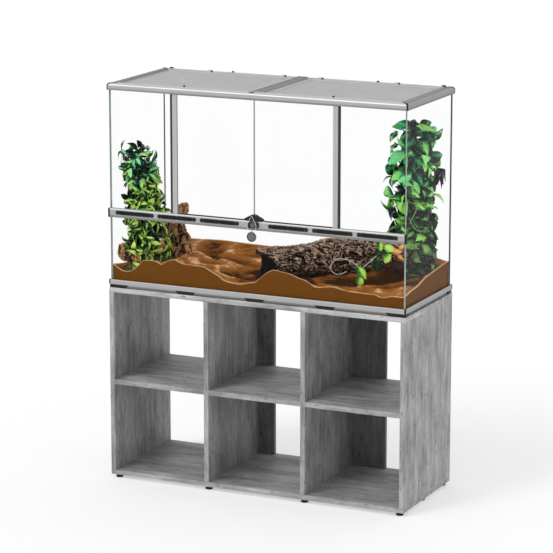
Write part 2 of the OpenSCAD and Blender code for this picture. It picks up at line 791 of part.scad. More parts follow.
// Teardrop of round wire: a small bend over the peg, two straight sides and a wide lower bend.
module key_loop() {
    tilt = asin((loop_r1 - loop_r0) / (peg_z - loop_z1));
    side_l = (peg_z - loop_z1) * cos(tilt);
    color("#b9bbbd") translate([peg_x, loop_y, 0]) {
        wire_bend(loop_r0, peg_z, tilt, 180 - tilt);
        wire_bend(loop_r1, loop_z1, 180 - tilt, 360 + tilt);
        for (s = [0, 1]) mirror([s, 0, 0])
            translate([loop_r1 * cos(tilt), 0, loop_z1 + loop_r1 * sin(tilt)])
                rotate([0, -tilt, 0]) {
                    cylinder(d = wire_d, h = side_l);
                    sphere(d = bead_d);
                    translate([0, 0, side_l]) sphere(d = bead_d);
                }
    }
}

module wire_bend(r, z, from, to) {
    translate([0, 0, z]) rotate([90, 0, 0]) rotate([0, 0, from])
        rotate_extrude(angle = to - from) translate([r, 0]) circle(d = wire_d);
}

module key_fob() {
    z = loop_z_low - lug_d / 2 - fob_d / 2 + 1;
    color("#55585c") translate([peg_x, loop_y, 0]) difference() {
        union() {
            rod_y(fob_d, 0, [-fob_t / 2, fob_t / 2], z);
            rod_x(lug_d, [-2.5, 2.5], 0, loop_z_low);
        }
        // shallow dished faces inside a raised rim
        for (side = [-1, 1])
            rod_y(fob_d - 5, 0, [side * fob_t / 2 - 0.5, side * fob_t / 2 + 0.5], z);
        rod_x(wire_d + 1.6, [-5, 5], 0, loop_z_low);
    }
}

// --- lid ---
module lid_outline(grow) {
    h = lid_h + grow;
    difference() {
        square([lid_w, h]);
        translate([0, h]) rotate(-90) edge_cut(lid_r + grow);
    }
}

module lid_section() {
    difference() {
        union() {
            difference() {
                lid_outline(0);
                // hollow chamber over the inner floor, following the rounded edge
                translate([wall, lid_floor + wall]) difference() {
                    square([lid_w - 2 * wall, lid_h - lid_floor - 2 * wall]);
                    translate([0, lid_h - lid_floor - 2 * wall]) rotate(-90)
                        edge_cut(lid_r - wall);
                }
                // open channel under the floor
                translate([wall, -1]) square([glass_in + glass_t + touch - wall, lid_floor + 1]);
                translate([glass_in + glass_t + touch + wall, -1]) square([lid_w, lid_floor + 1]);
            }
            translate([lid_w - e, z_mesh - z_lid - wall]) square([ledge + e, wall]);
        }
    }
}

module lid_rail(side) {
    color(alu) rail_on_side(side, z_lid, lid_w + ledge, lid_h) lid_section();
}

module lid_rail_front() {
    // drilled for the doors' upper hinge pins
    difference() {
        lid_rail(0);
        for (side = [-1, 1])
            rod_z(pin_d + 2 * seat, side * hinge_x, hinge_y, [z_lid - 1, z_lid + lid_floor + wall]);
    }
}

module lid_rail_right() lid_rail(1);
module lid_rail_back() lid_rail(2);
module lid_rail_left() lid_rail(3);

module lid_corner_plates() {
    color(black) corner_plates(z_lid, lid_w, lid_h) difference() {
        lid_outline(corner_out);
        translate([wall + corner_out, -1])
            square([lid_w, lid_slot + 1 + touch]);
    }
}

module lid_crossbar() {
    under = z_mesh - wall;
    color("#8f9192") {
        difference() {
            union() {
                block([-bar_w / 2, bar_w / 2], [lid_in_y0 + ledge, lid_in_y1 - ledge],
                      [z_lid + lid_floor, z_mesh]);
                block([-bar_w / 2, bar_w / 2], [lid_in_y0, lid_in_y1], [z_mesh, z_mesh_top]);
                block([-bar_w / 2 - ledge, bar_w / 2 + ledge],
                      [lid_in_y0 + ledge, lid_in_y1 - ledge], [under, z_mesh]);
            }
            // hollow inside, open at both ends
            block([-bar_w / 2 + wall, bar_w / 2 - wall], [lid_in_y0 - 1, lid_in_y1 + 1],
                  [z_mesh + 1, z_mesh_top - wall]);
            block([-bar_w / 2 + wall, bar_w / 2 - wall],
                  [lid_in_y0 + ledge - 1, lid_in_y1 - ledge + 1],
                  [z_lid + lid_floor + wall, z_mesh - wall]);
            // two grooves along the top
            for (s = [-1, 1])
                block([s * bar_w / 4 - 1, s * bar_w / 4 + 1], [lid_in_y0 - 1, lid_in_y1 + 1],
                      [z_mesh_top - 0.8, z_mesh_top + 1]);
        }
    }
}

module mesh_panel(side) {
    color("#b4b6b8") on_right(side) difference() {
        union() {
            difference() {
                block([mesh_x0, mesh_x1], [mesh_y0, mesh_y1], [z_mesh, z_mesh_top]);
                block([mesh_x0 + mesh_edge, mesh_x1 - mesh_edge],
                      [mesh_y0 + mesh_edge, mesh_y1 - mesh_edge], [z_mesh - 1, z_mesh_top + 1]);
            }
            translate([0, 0, z_mesh + mesh_t / 2]) linear_extrude(height = 1.2) mesh_sheet();
            for (x = mesh_hinges) translate([x - knuckle_w / 2, 0, 0]) knuckle();
        }
        for (x = mesh_hinges)
            rod_x(mesh_pin_d + 2 * run, [x - knuckle_w, x + knuckle_w], mesh_pin_y, mesh_pin_z);
    }
}

module mesh_sheet() {
    x0 = mesh_x0 + mesh_edge;
    x1 = mesh_x1 - mesh_edge;
    y0 = mesh_y0 + mesh_edge;
    y1 = mesh_y1 - mesh_edge;
    nx = floor((x1 - x0) / mesh_pitch);
    ny = floor((y1 - y0) / mesh_pitch);
    strand = 2;
    difference() {
        translate([x0 - 1, y0 - 1]) square([x1 - x0 + 2, y1 - y0 + 2]);
        for (i = [0:nx - 1], j = [0:ny - 1])
            translate([x0 + i * (x1 - x0) / nx + strand / 2, y0 + j * (y1 - y0) / ny + strand / 2])
                square([(x1 - x0) / nx - strand, (y1 - y0) / ny - strand]);
    }
}

module knuckle() {
    z0 = z_lid_top + touch;
    rotate([90, 0, 90]) linear_extrude(height = knuckle_w) {
        translate([mesh_pin_y, mesh_pin_z]) circle(knuckle_r);
        polygon([[mesh_y1 - mesh_edge, z_mesh_top - 1], [mesh_y1, z_mesh_top - 1],
                 [mesh_y1, z_lid_top], [mesh_y1 + mesh_gap, z0], [mesh_pin_y, z0],
                 [mesh_pin_y, mesh_pin_z + knuckle_r], [mesh_y1 - 2, mesh_pin_z + knuckle_r - 1],
                 [mesh_y1 - mesh_edge, z_lid_top]]);
    }
}

module mesh_panel_left() mesh_panel(-1);
module mesh_panel_right() mesh_panel(1);

module mesh_hinge_clips() {
    color(black) for (side = [-1, 1], x = mesh_hinges) on_right(side) {
        for (s = [-1, 1]) {
            xe = x + s * (knuckle_w / 2 + touch) + (s < 0 ? -ear_t : 0);
            translate([xe, 0, 0]) rotate([90, 0, 90]) linear_extrude(height = ear_t) {
                translate([mesh_pin_y, mesh_pin_z]) circle(knuckle_r);
                translate([mesh_pin_y - knuckle_r, z_lid_top])
                    square([2 * knuckle_r + 4, knuckle_r + touch]);
            }
        }
        block([x - knuckle_w / 2 - touch - ear_t, x + knuckle_w / 2 + touch + ear_t],
              [mesh_pin_y + knuckle_r + touch, mesh_pin_y + knuckle_r + 4],
              [z_lid_top, z_lid_top + knuckle_r]);
        rod_x(mesh_pin_d, [x - knuckle_w / 2 - touch - ear_t / 2, x + knuckle_w / 2 + touch + ear_t / 2],
              mesh_pin_y, mesh_pin_z);
    }
}

module mesh_knob(side) {
    x = (mesh_x0 + mesh_x1) / 2;
    color(black) on_right(side) translate([x, mesh_y0 + mesh_edge / 2, z_mesh_top])
        rotate_extrude() polygon([[0, 0], [knob_d / 2 - 1.5, 0], [knob_d / 2 - 1.5, 2],
            [knob_d / 2, 3], [knob_d / 2, 5], [knob_d / 2 - 1, 6], [0, 6]]);
}

module mesh_knob_left() mesh_knob(-1);
module mesh_knob_right() mesh_knob(1);

// --- filling ---
// The ground as one closed body; lift raises its surface, to cut what stands on it.
module ground_mass(lift, gap) {
    x0 = -in_x + gap;
    y0 = in_y0 + gap;
    dx = 2 * (in_x - gap) / ground_nx;
    dy = (in_y1 - in_y0 - 2 * gap) / ground_ny;
    nx = ground_nx + 1;
    top = [for (j = [0:ground_ny], i = [0:ground_nx])
        let (x = x0 + i * dx, y = y0 + j * dy) [x, y, ground_z(x, y) + lift]];
    bottom = [for (j = [0:ground_ny], i = [0:ground_nx]) [x0 + i * dx, y0 + j * dy, z_in]];
    n = len(top);
    faces = [
        for (j = [0:ground_ny - 1], i = [0:ground_nx - 1], h = [0, 1])
            let (a = j * nx + i)
            h == 0 ? [a, a + nx, a + nx + 1] : [a, a + nx + 1, a + 1],
        for (i = [0:ground_nx - 1]) each side_faces(i, i + 1, n),
        for (i = [0:ground_nx - 1]) each
            side_faces(ground_ny * nx + i + 1, ground_ny * nx + i, n),
        for (j = [0:ground_ny - 1]) each side_faces((j + 1) * nx, j * nx, n),
        for (j = [0:ground_ny - 1]) each
            side_faces(j * nx + ground_nx, (j + 1) * nx + ground_nx, n),
        for (j = [0:ground_ny - 1], i = [0:ground_nx - 1], h = [0, 1])
            let (a = n + j * nx + i)
            h == 0 ? [a, a + nx + 1, a + nx] : [a, a + 1, a + nx + 1]];
    polyhedron(points = concat(top, bottom), faces = faces, convexity = 6);
}

// two triangles of the wall under the surface's edge from point a to point b
function side_faces(a, b, n) = [[a, b, b + n], [a, b + n, a + n]];

module ground() {
    color("#9a5a2a") ground_mass(0, ground_gap);
}

module above_ground() {
    // keeps what stands in the tank off the panes and the ground
    difference() {
        intersection() {
            children();
            block([-in_x + 1, in_x - 1], [in_y0 + 1, in_y1 - 1], [z_in + 1, z_lid - 6]);
        }
        ground_mass(touch, -1);
    }
}

// Rough tube through rings of points: path gives each ring's middle and radius.
module rough_tube(path, sides, rough, cap_from) {
    rings = len(path);
    points = [for (k = [0:rings - 1], i = [0:sides - 1])
        let (p = path[k], a = 360 * i / sides,
             r = p[3] * (1 + rough * sin(5 * a + 70 * k) * cos(3 * a - 47 * k)
                         + rough * 0.6 * sin(9 * a + 31 * k)))
        [p[0] - sin(p[4]) * r * cos(a), p[1] + cos(p[4]) * r * cos(a), p[2] + r * sin(a)]];
    faces = [
        [for (i = [0:sides - 1]) i],
        for (k = [0:rings - 2], i = [0:sides - 1], h = [0, 1])
            let (a = k * sides + i, b = k * sides + (i + 1) % sides)
            h == 0 ? [a, a + sides, b] : [b, a + sides, b + sides],
        [for (i = [sides - 1:-1:0]) (rings - 1) * sides + i]];
    polyhedron(points = points, faces = faces, convexity = 4);
}

log_x0 = -log_d / 3;        // left, open end of the log
log_x1 = in_x - 79;
log_y0 = in_y0 + 96;        // its middle at the left end
log_y1 = in_y1 - 184;
log_steps = 22;
function log_ring(t, r) =
    [log_x0 + t * (log_x1 - log_x0), log_y0 + (log_y1 - log_y0) * ease(t),
     z_in + log_d * (0.72 + 0.34 * ease(min(1, t * 1.6))), r, 16 * sin(180 * t)];

module log_body(grow) {
    bend = [for (k = [0:log_steps]) let (t = k / log_steps)
        log_ring(t, grow + log_d / 2 * (0.86 + 0.22 * sin(150 * t + 20) - 0.18 * t * t))];
    rough_tube(bend, 20, 0.07);
}

module hollow_log() {
    cave = [for (k = [-1:6]) let (t = k / log_steps) log_ring(t, log_d / 2 * (0.66 - 0.035 * k))];
    color("#4d3a2c") above_ground() difference() {
        log_body(0);
        rough_tube(cave, 12, 0.05);
    }
}

bark_x = -in_x + 136;
bark_y = in_y1 - 152;

module cork_bark() {
    base = ground_z(bark_x, bark_y) - bark_d * 0.12;
    r = bark_d / 2;
    color("#5b4030") above_ground() translate([bark_x, bark_y, 0]) difference() {
        upright_tube(base, bark_h + bark_d * 0.12, r, r * 0.69, 18, 8, 0.1);
        translate([r * 0.19, r * 0.5, 0])
            upright_tube(base - 5, bark_h + 30, r * 0.692, r * 0.52, 12, 5, 0.06);
    }
}

// Rough upright tube, from radius r0 at its foot to r1 at its top.
module upright_tube(z0, height, r0, r1, sides, rings, rough) {
    points = [for (k = [0:rings], i = [0:sides - 1])
        let (a = 360 * i / sides, t = k / rings,
             r = (r0 + (r1 - r0) * t) * (1 + rough * sin(4 * a + 60 * k) * cos(3 * a - 40 * k)))
        [r * cos(a) + 6 * sin(140 * t), r * sin(a),
         z0 + t * height + (k == rings ? 12 * sin(3 * a + 40) : 0)]];
    faces = [
        for (i = [1:sides - 2]) [0, i, i + 1],
        for (k = [0:rings - 1], i = [0:sides - 1], h = [0, 1])
            let (a = k * sides + i, b = k * sides + (i + 1) % sides)
            h == 0 ? [a, a + sides, b] : [b, a + sides, b + sides],
        for (i = [1:sides - 2]) [rings * sides, rings * sides + i + 1, rings * sides + i]];
    polyhedron(points = points, faces = faces, convexity = 4);
}

// One leaf along +X: a pointed oval folded along its rib, 1.2 mm thick.
module leaf(length) {
    w = length * 0.3;
    out = [[0, 0, 0], [length * 0.3, w * 0.9, 3], [length * 0.65, w * 0.8, 1],
           [length, 0, -length * 0.14],
           [length * 0.65, -w * 0.8, 1], [length * 0.3, -w * 0.9, 3]];
    rib = [length * 0.45, 0, -1];
    polyhedron(points = concat(out, [rib + [0, 0, 0.6], rib - [0, 0, 0.9]]),
        faces = [for (i = [0:5]) each [[i, (i + 1) % 6, 6], [(i + 1) % 6, i, 7]]]);
}

golden = 137.5;      // turn from one leaf to the next

// Leafy column: leaves on a spiral round a rough core of radius r0 at its foot and r1 above.
module plant(x, y, height, leaves, r0, r1) {
    base = ground_z(x, y) - 6;
    translate([x, y, 0]) {
        upright_tube(base, height - leaf_l * 0.3, r0, r1, 10, 8, 0.14);
        for (i = [0:leaves - 1]) {
            t = (i + 0.5) / leaves;
            size = leaf_l * (0.8 + 0.2 * sin(golden * i * 2.3));
            translate([6 * sin(140 * t), 0, base + 18 + (height - leaf_l * 0.5) * t])
                rotate([0, 0, golden * i]) translate([(r0 + (r1 - r0) * t) * 0.72, 0, 0])
                    rotate([0, 24 - 56 * t + 20 * sin(i * 71), 0]) leaf(size);
        }
    }
}

module plant_left() {
    color("#3f7f35") above_ground()
        plant(-in_x + 87, in_y0 + 114, plant_left_h, 64, leaf_l - 24, leaf_l - 42);
}

module plant_right() {
    // its foot is parted by the log's end
    color("#356f3a") above_ground() difference() {
        plant(in_x - 101, in_y1 - 118, plant_right_h, 84, leaf_l - 12, leaf_l - 32);
        log_body(touch);
    }
}

bottom_panel();
top_panel();
side_panel_left();
side_panel_right();
divider_left();
divider_right();
shelf_left();
shelf_middle();
shelf_right();
back_board_left();
back_board_right();
furniture_glides();
panel_dowels();
panel_screws();
tank_pads();
base_rail_front();
base_rail_back();
base_rail_left();
base_rail_right();
base_corner_plates();
floor_pane();
back_pane();
side_pane_left();
side_pane_right();
front_pane_lower();
front_pane_left();
front_pane_right();
silicone_seams();
pane_edge_seals();
vent_bar();
vent_bar_caps();
vent_grilles();
door_pane_left();
door_pane_right();
hinge_section_left();
hinge_section_right();
door_hinge_pins();
door_pull_left();
door_pull_right();
lock_housing();
lock_barrel();
lock_bolt();
key_loop();
key_fob();
lid_rail_front();
lid_rail_back();
lid_rail_left();
lid_rail_right();
lid_corner_plates();
lid_crossbar();
mesh_hinge_clips();
mesh_panel_left();
mesh_panel_right();
mesh_knob_left();
mesh_knob_right();
ground();
cork_bark();
hollow_log();
plant_left();
plant_right();
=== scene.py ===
"""Looks for a glass terrarium on a six-bay cabinet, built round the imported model.

Lengths are metres, +X runs to the right as seen from the doors, +Y to the back and +Z up.
"""

import json
import logging
import math
from contextlib import contextmanager
from dataclasses import dataclass, field
from enum import Enum
from functools import cached_property, reduce
from itertools import product
from typing import Any, Callable, Iterator, Sequence

import bmesh
import bpy
from mathutils import Matrix, Vector, noise


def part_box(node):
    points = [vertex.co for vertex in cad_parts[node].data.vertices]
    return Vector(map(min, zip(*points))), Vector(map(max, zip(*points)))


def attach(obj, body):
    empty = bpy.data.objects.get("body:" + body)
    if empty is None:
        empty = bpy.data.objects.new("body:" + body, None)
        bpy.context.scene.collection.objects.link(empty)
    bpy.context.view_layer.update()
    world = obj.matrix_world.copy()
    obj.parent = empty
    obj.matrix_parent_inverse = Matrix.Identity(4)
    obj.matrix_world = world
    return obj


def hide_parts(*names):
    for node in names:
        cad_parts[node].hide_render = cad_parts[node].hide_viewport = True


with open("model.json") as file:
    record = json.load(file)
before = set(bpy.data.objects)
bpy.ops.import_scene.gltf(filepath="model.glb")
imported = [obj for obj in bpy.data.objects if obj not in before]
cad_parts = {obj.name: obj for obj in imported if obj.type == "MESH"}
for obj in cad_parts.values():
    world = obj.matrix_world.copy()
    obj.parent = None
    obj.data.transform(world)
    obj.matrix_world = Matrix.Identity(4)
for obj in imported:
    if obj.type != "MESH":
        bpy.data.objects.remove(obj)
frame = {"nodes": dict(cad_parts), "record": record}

log = logging.getLogger("terrarium")
logging.basicConfig(level=logging.INFO, format="%(name)s: %(message)s")
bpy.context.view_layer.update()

Colour = tuple[float, float, float]
Point = Sequence[float]
ROOT = "cabinet_and_tank"
MM = 0.001
# the offsets of the noise patterns come from the clock unless they are given a seed
NOISE_SEED = 7
WHITE = (1.0, 1.0, 1.0, 1.0)
# the angles in degrees past which an edge stays sharp, on moulded parts and on grown ones
CRISP = 35
GROWN = 60


class Axis(Enum):
    """The direction in which a board's streaks or a drawn section's lines run."""

    X = 0
    Y = 1
    Z = 2

    def stretch(self, across: float, along: float) -> list[float]:
        """Returns a pattern's repeats in a metre, with their own number along this axis."""
        return [along if i == self.value else across for i in range(3)]


def opaque(colour: Colour) -> tuple[float, float, float, float]:
    """Returns the colour with full alpha."""
    return (*colour, 1.0)


def shaded(colour: Colour, share: float, plus: float = 0.0) -> Colour:
    """Returns the colour with each channel multiplied by share, and plus added to it."""
    return tuple(c * share + plus for c in colour)


# --- material graphs ---------------------------------------------------------------------------


class Graph:
    """One procedural node tree, with short ways to add what the finishes share."""

    def __init__(self, name: str, world: bpy.types.World | None = None) -> None:
        """Starts an empty node tree.

        Args:
            name: the material's name.
            world: the world that the tree belongs to, where it isn't a new material's.
        """
        self.owner = world or bpy.data.materials.new(name)
        self.owner.use_nodes = True
        self.nodes = self.owner.node_tree.nodes
        self.links = self.owner.node_tree.links
        self.nodes.clear()

    @cached_property
    def place(self) -> Any:
        """The point's place on the object."""
        return self.add("TexCoord").outputs["Object"]

    @cached_property
    def height(self) -> Any:
        """The point's height on the object."""
        return self.add("SeparateXYZ", {0: self.place}).outputs["Z"]

    def add(self, kind: str, inputs: dict[Any, Any] | None = None,
            **settings: Any) -> bpy.types.Node:
        """Adds a shader node.

        Args:
            kind: the node's type, without its ShaderNode prefix.
            inputs: a value or an output socket for each input, by name or number.
            settings: the node's own properties.

        Returns:
            The new node.
        """
        node = self.nodes.new("ShaderNode" + kind)
        for key, value in settings.items():
            setattr(node, key, value)
        for key, value in (inputs or {}).items():
            if isinstance(value, bpy.types.NodeSocket):
                self.links.new(value, node.inputs[key])
            else:
                node.inputs[key].default_value = value
        return node

    def noise(self, stretch: Point | float, detail: float = 4, rough: float = 0.55) -> Any:
        """Adds a noise pattern.

        Args:
            stretch: how many times the pattern repeats in a metre, on all axes or on each.
            detail: octaves of finer noise.
            rough: how strong those octaves are.

        Returns:
            The pattern's value socket.
        """
        scale = tuple(stretch) if isinstance(stretch, Sequence) else (stretch,) * 3
        at = self.add("Mapping", {"Vector": self.place, "Scale": scale})
        inputs = {"Vector": at.outputs[0], "Scale": 1.0, "Detail": detail, "Roughness": rough}
        return self.add("TexNoise", inputs).outputs["Fac"]

    def ramp(self, source: Any, stops: Sequence[tuple[float, Colour]]) -> Any:
        """Turns a value into a colour.

        Args:
            source: the value's socket.
            stops: each stop's place from 0 to 1 and its colour.

        Returns:
            The colour's socket.
        """
        node = self.add("ValToRGB", {0: source})
        while len(node.color_ramp.elements) < len(stops):
            node.color_ramp.elements.new(1.0)
        for element, (at, colour) in zip(node.color_ramp.elements, stops):
            element.position = at
            element.color = opaque(colour)
        return node.outputs[0]

    def span(self, source: Any, low: float, high: float, to_low: float = 0.0,
             to_high: float = 1.0) -> Any:
        """Stretches the part of a value between low and high to a new span, and clamps it."""
        inputs = {0: source, 1: low, 2: high, 3: to_low, 4: to_high}
        return self.add("MapRange", inputs).outputs[0]

    def mix(self, share: Any, first: Any, second: Any) -> Any:
        """Mixes two colours by a share from 0 to 1."""
        ends = [opaque(c) if isinstance(c, tuple) else c for c in (first, second)]
        return self.add("Mix", {0: share, 6: ends[0], 7: ends[1]}, data_type="RGBA").outputs[2]

    def tint(self, colour: Any, share: Any) -> Any:
        """Multiplies one colour by another."""
        inputs = {0: 1.0, 6: colour, 7: share}
        return self.add("Mix", inputs, data_type="RGBA", blend_type="MULTIPLY").outputs[2]

    def math(self, kind: str, first: Any, second: Any = 0.0) -> Any:
        """Adds one sum, such as ADD or MULTIPLY, and returns its result."""
        return self.add("Math", {0: first, 1: second}, operation=kind).outputs[0]

    def times(self, *factors: Any) -> Any:
        """Multiplies two values or more."""
        return reduce(lambda first, second: self.math("MULTIPLY", first, second), factors)

    def total(self, *parts: tuple[Any, float]) -> Any:
        """Adds up values, each of them multiplied by its weight."""
        return reduce(lambda first, second: self.math("ADD", first, second),
                      [self.times(value, weight) for value, weight in parts])

    def waver(self, tone: Any, pattern: Any, weight: float) -> Any:
        """Adds a pattern's distance from its middle to a tone, multiplied by a weight."""
        return self.math("ADD", tone, self.times(self.math("SUBTRACT", pattern, 0.5), weight))

    def bump(self, height: Any, depth: float, strength: float = 1.0) -> Any:
        """Turns a height pattern into a normal."""
        inputs = {"Height": height, "Distance": depth, "Strength": strength}
        return self.add("Bump", inputs).outputs[0]

    def upward(self) -> Any:
        """Returns how far the surface is turned up, as the Z of its normal."""
        return self.add("SeparateXYZ", {0: self.add("TexCoord").outputs["Normal"]}).outputs["Z"]

    def held(self, name: str) -> Any:
        """Returns a value that the mesh carries at its points."""
        return self.add("Attribute", attribute_name=name).outputs["Fac"]

    def finish(self, surface: Any) -> bpy.types.Material:
        """Wires a shader to the output and returns the material."""
        self.add("OutputMaterial", {"Surface": surface})
        return self.owner

    def principled(self, **inputs: Any) -> bpy.types.Material:
        """Finishes the material with one Principled shader; underscores stand for spaces."""
        named = {key.replace("_", " "): value for key, value in inputs.items()}
        return self.finish(self.add("BsdfPrincipled", named).outputs[0])


class Finish:
    """A kind of surface. Equal finishes share one material."""

    made: dict["Finish", bpy.types.Material] = {}

    def material(self) -> bpy.types.Material:
        """Builds the material on its first use.

        Returns:
            This finish's material.
        """
        if self not in Finish.made:
            Finish.made[self] = self.build()
        return Finish.made[self]

    def build(self) -> bpy.types.Material:
        """Builds the node tree.

        Returns:
            The finished material.
        """
        raise NotImplementedError


@dataclass(frozen=True)
class ConcreteFoil(Finish):
    """Decor foil with a cast-concrete look: soft clouds, fine streaks and small dark nicks."""

    grain: Axis
    dark: Colour = (0.145, 0.145, 0.142)
    middle: Colour = (0.325, 0.325, 0.322)
    light: Colour = (0.56, 0.56, 0.555)
    nick: Colour = (0.06, 0.06, 0.06)
    stops: tuple[float, float, float] = (0.37, 0.5, 0.66)
    # the share of these colours that a board keeps: above 1 a painted highlight, below 1 painted
    # shade
    share: float = 1.0

    def build(self) -> bpy.types.Material:
        """Builds the node tree.

        Returns:
            The finished material.
        """
        g = Graph(f"concrete_foil_{self.grain.name}_{round(self.share * 100)}")
        clouds = g.noise(self.grain.stretch(15, 6), detail=6, rough=0.68)
        fibres = g.noise(self.grain.stretch(190, 22), detail=4, rough=0.65)
        streaks = g.noise(self.grain.stretch(44, 4.5), detail=4, rough=0.6)
        nicks = g.noise(self.grain.stretch(92, 33), detail=2, rough=0.5)
        tone = g.total((clouds, 0.46), (streaks, 0.3), (fibres, 0.24))
        shades = [shaded(colour, self.share) for colour in (self.dark, self.middle, self.light)]
        colour = g.ramp(tone, list(zip(self.stops, shades)))
        colour = g.mix(g.span(nicks, 0.64, 0.72, 0.0, 0.7), colour, self.nick)
        return g.principled(
            Base_Color=colour,
            Roughness=g.span(fibres, 0.3, 0.7, 0.52, 0.7),
            Normal=g.bump(fibres, 0.0005, 0.6),
            Specular_IOR_Level=0.35,
        )


@dataclass(frozen=True)
class DrawnMetal(Finish):
    """Anodised or plated metal, with fine lines along the section, soft bands across it and, where
    given, painted shade and highlight.
    """

    lines: Axis
    colour: Colour = (0.48, 0.48, 0.475)
    roughness: float = 0.42
    metallic: float = 0.75
    # the share of the colour that faces turned up keep, painted shade where below 1
    upper: float = 1.0
    # places in metres up the section, each with the share of the colour that is left there: painted
    # shade low down, painted highlight at the top edge
    bands: tuple[tuple[float, float], ...] = ()

    def build(self) -> bpy.types.Material:
        """Builds the node tree.

        Returns:
            The finished material.
        """
        g = Graph(f"drawn_metal_{self.lines.name}_{round(self.colour[0] * 100)}")
        lines = g.noise(self.lines.stretch(900, 3), detail=3, rough=0.7)
        soft = g.noise(9, detail=2)
        ends = [(0.3, shaded(self.colour, 0.9)), (0.7, shaded(self.colour, 1.08))]
        colour = g.ramp(g.total((lines, 0.7), (soft, 0.3)), ends)
        if self.bands:
            foot, crown = self.bands[0][0], self.bands[-1][0]
            stops = [((z - foot) / (crown - foot), (share,) * 3) for z, share in self.bands]
            colour = g.tint(colour, g.ramp(g.span(g.height, foot, crown), stops))
        if self.upper != 1.0:
            dimmed = shaded(self.colour, self.upper)
            colour = g.mix(g.span(g.upward(), 0.75, 0.95), colour, dimmed)
        return g.principled(
            Base_Color=colour,
            Metallic=self.metallic,
            Roughness=g.span(lines, 0.3, 0.7, self.roughness - 0.05, self.roughness + 0.07),
            Normal=g.bump(lines, 0.00004, 0.4),
        )


@dataclass(frozen=True)
class MouldedPlastic(Finish):
    """Dark moulded plastic or rubber with a fine spark-eroded grain."""

    name: str
    colour: Colour = (0.011, 0.011, 0.012)
    roughness: float = 0.45
    grain: float = 0.00006

    def build(self) -> bpy.types.Material:
        """Builds the node tree.

        Returns:
            The finished material.
        """
        g = Graph(f"moulded_{self.name}")
        grain = g.noise(1500, detail=2)
        worn = g.noise(35)
        light = shaded(self.colour, 1.5, 0.004)
        return g.principled(
            Base_Color=g.ramp(worn, [(0.35, self.colour), (0.75, light)]),
            Roughness=g.span(worn, 0.3, 0.7, self.roughness - 0.06, self.roughness + 0.1),
            Specular_IOR_Level=0.2,
            Normal=g.bump(grain, self.grain, 0.5),
        )


@dataclass(frozen=True)
class PlainWood(Finish):
    """Beech of the dowels, with its grain across the cabinet."""

    def build(self) -> bpy.types.Material:
        """Builds the node tree.

        Returns:
            The finished material.
        """
        g = Graph("beech")
        rings = g.noise(Axis.X.stretch(900, 60))
        colour = g.ramp(rings, [(0.35, (0.42, 0.27, 0.15)), (0.7, (0.66, 0.48, 0.31))])
        return g.principled(Base_Color=colour, Roughness=0.6, Normal=g.bump(rings, 0.0002))


@dataclass(frozen=True)
class ClearPane(Finish):
    """The faces of float glass: nearly clear, with a plain mirror sheen at low angles."""

    tint: Colour = (0.9893, 0.9911, 0.9907)
    facing: float = 0.003
    grazing: float = 0.14

    def build(self) -> bpy.types.Material:
        """Builds the node tree.

        Returns:
            The finished material.
        """
        g = Graph("clear_pane")
        clear = g.add("BsdfTransparent", {"Color": opaque(self.tint)})
        gloss = g.add("BsdfGlossy", {"Color": WHITE, "Roughness": 0.03})
        slant = g.add("LayerWeight", {"Blend": 0.5}).outputs["Facing"]
        share = g.span(g.math("POWER", slant, 5.0), 0.0, 1.0, self.facing, self.grazing)
        both = g.add("MixShader", {0: share, 1: clear.outputs[0], 2: gloss.outputs[0]})
        return g.finish(both.outputs[0])


@dataclass(frozen=True)
class GroundEdge(Finish):
    """The ground edges of a pane, which show the glass's own green, here in a darker and a paler
    copy: painted shade and painted light.
    """

    name: str
    deep: Colour
    pale: Colour

    def build(self) -> bpy.types.Material:
        """Builds the node tree.

        Returns:
            The finished material.
        """
        g = Graph(f"ground_edge_{self.name}")
        wave = g.noise(14, detail=3)
        grit = g.noise(700, detail=2)
        return g.principled(
            Base_Color=g.ramp(wave, [(0.3, self.deep), (0.75, self.pale)]),
            Roughness=g.span(grit, 0.3, 0.7, 0.18, 0.4),
            Normal=g.bump(grit, 0.00005, 0.5),
        )


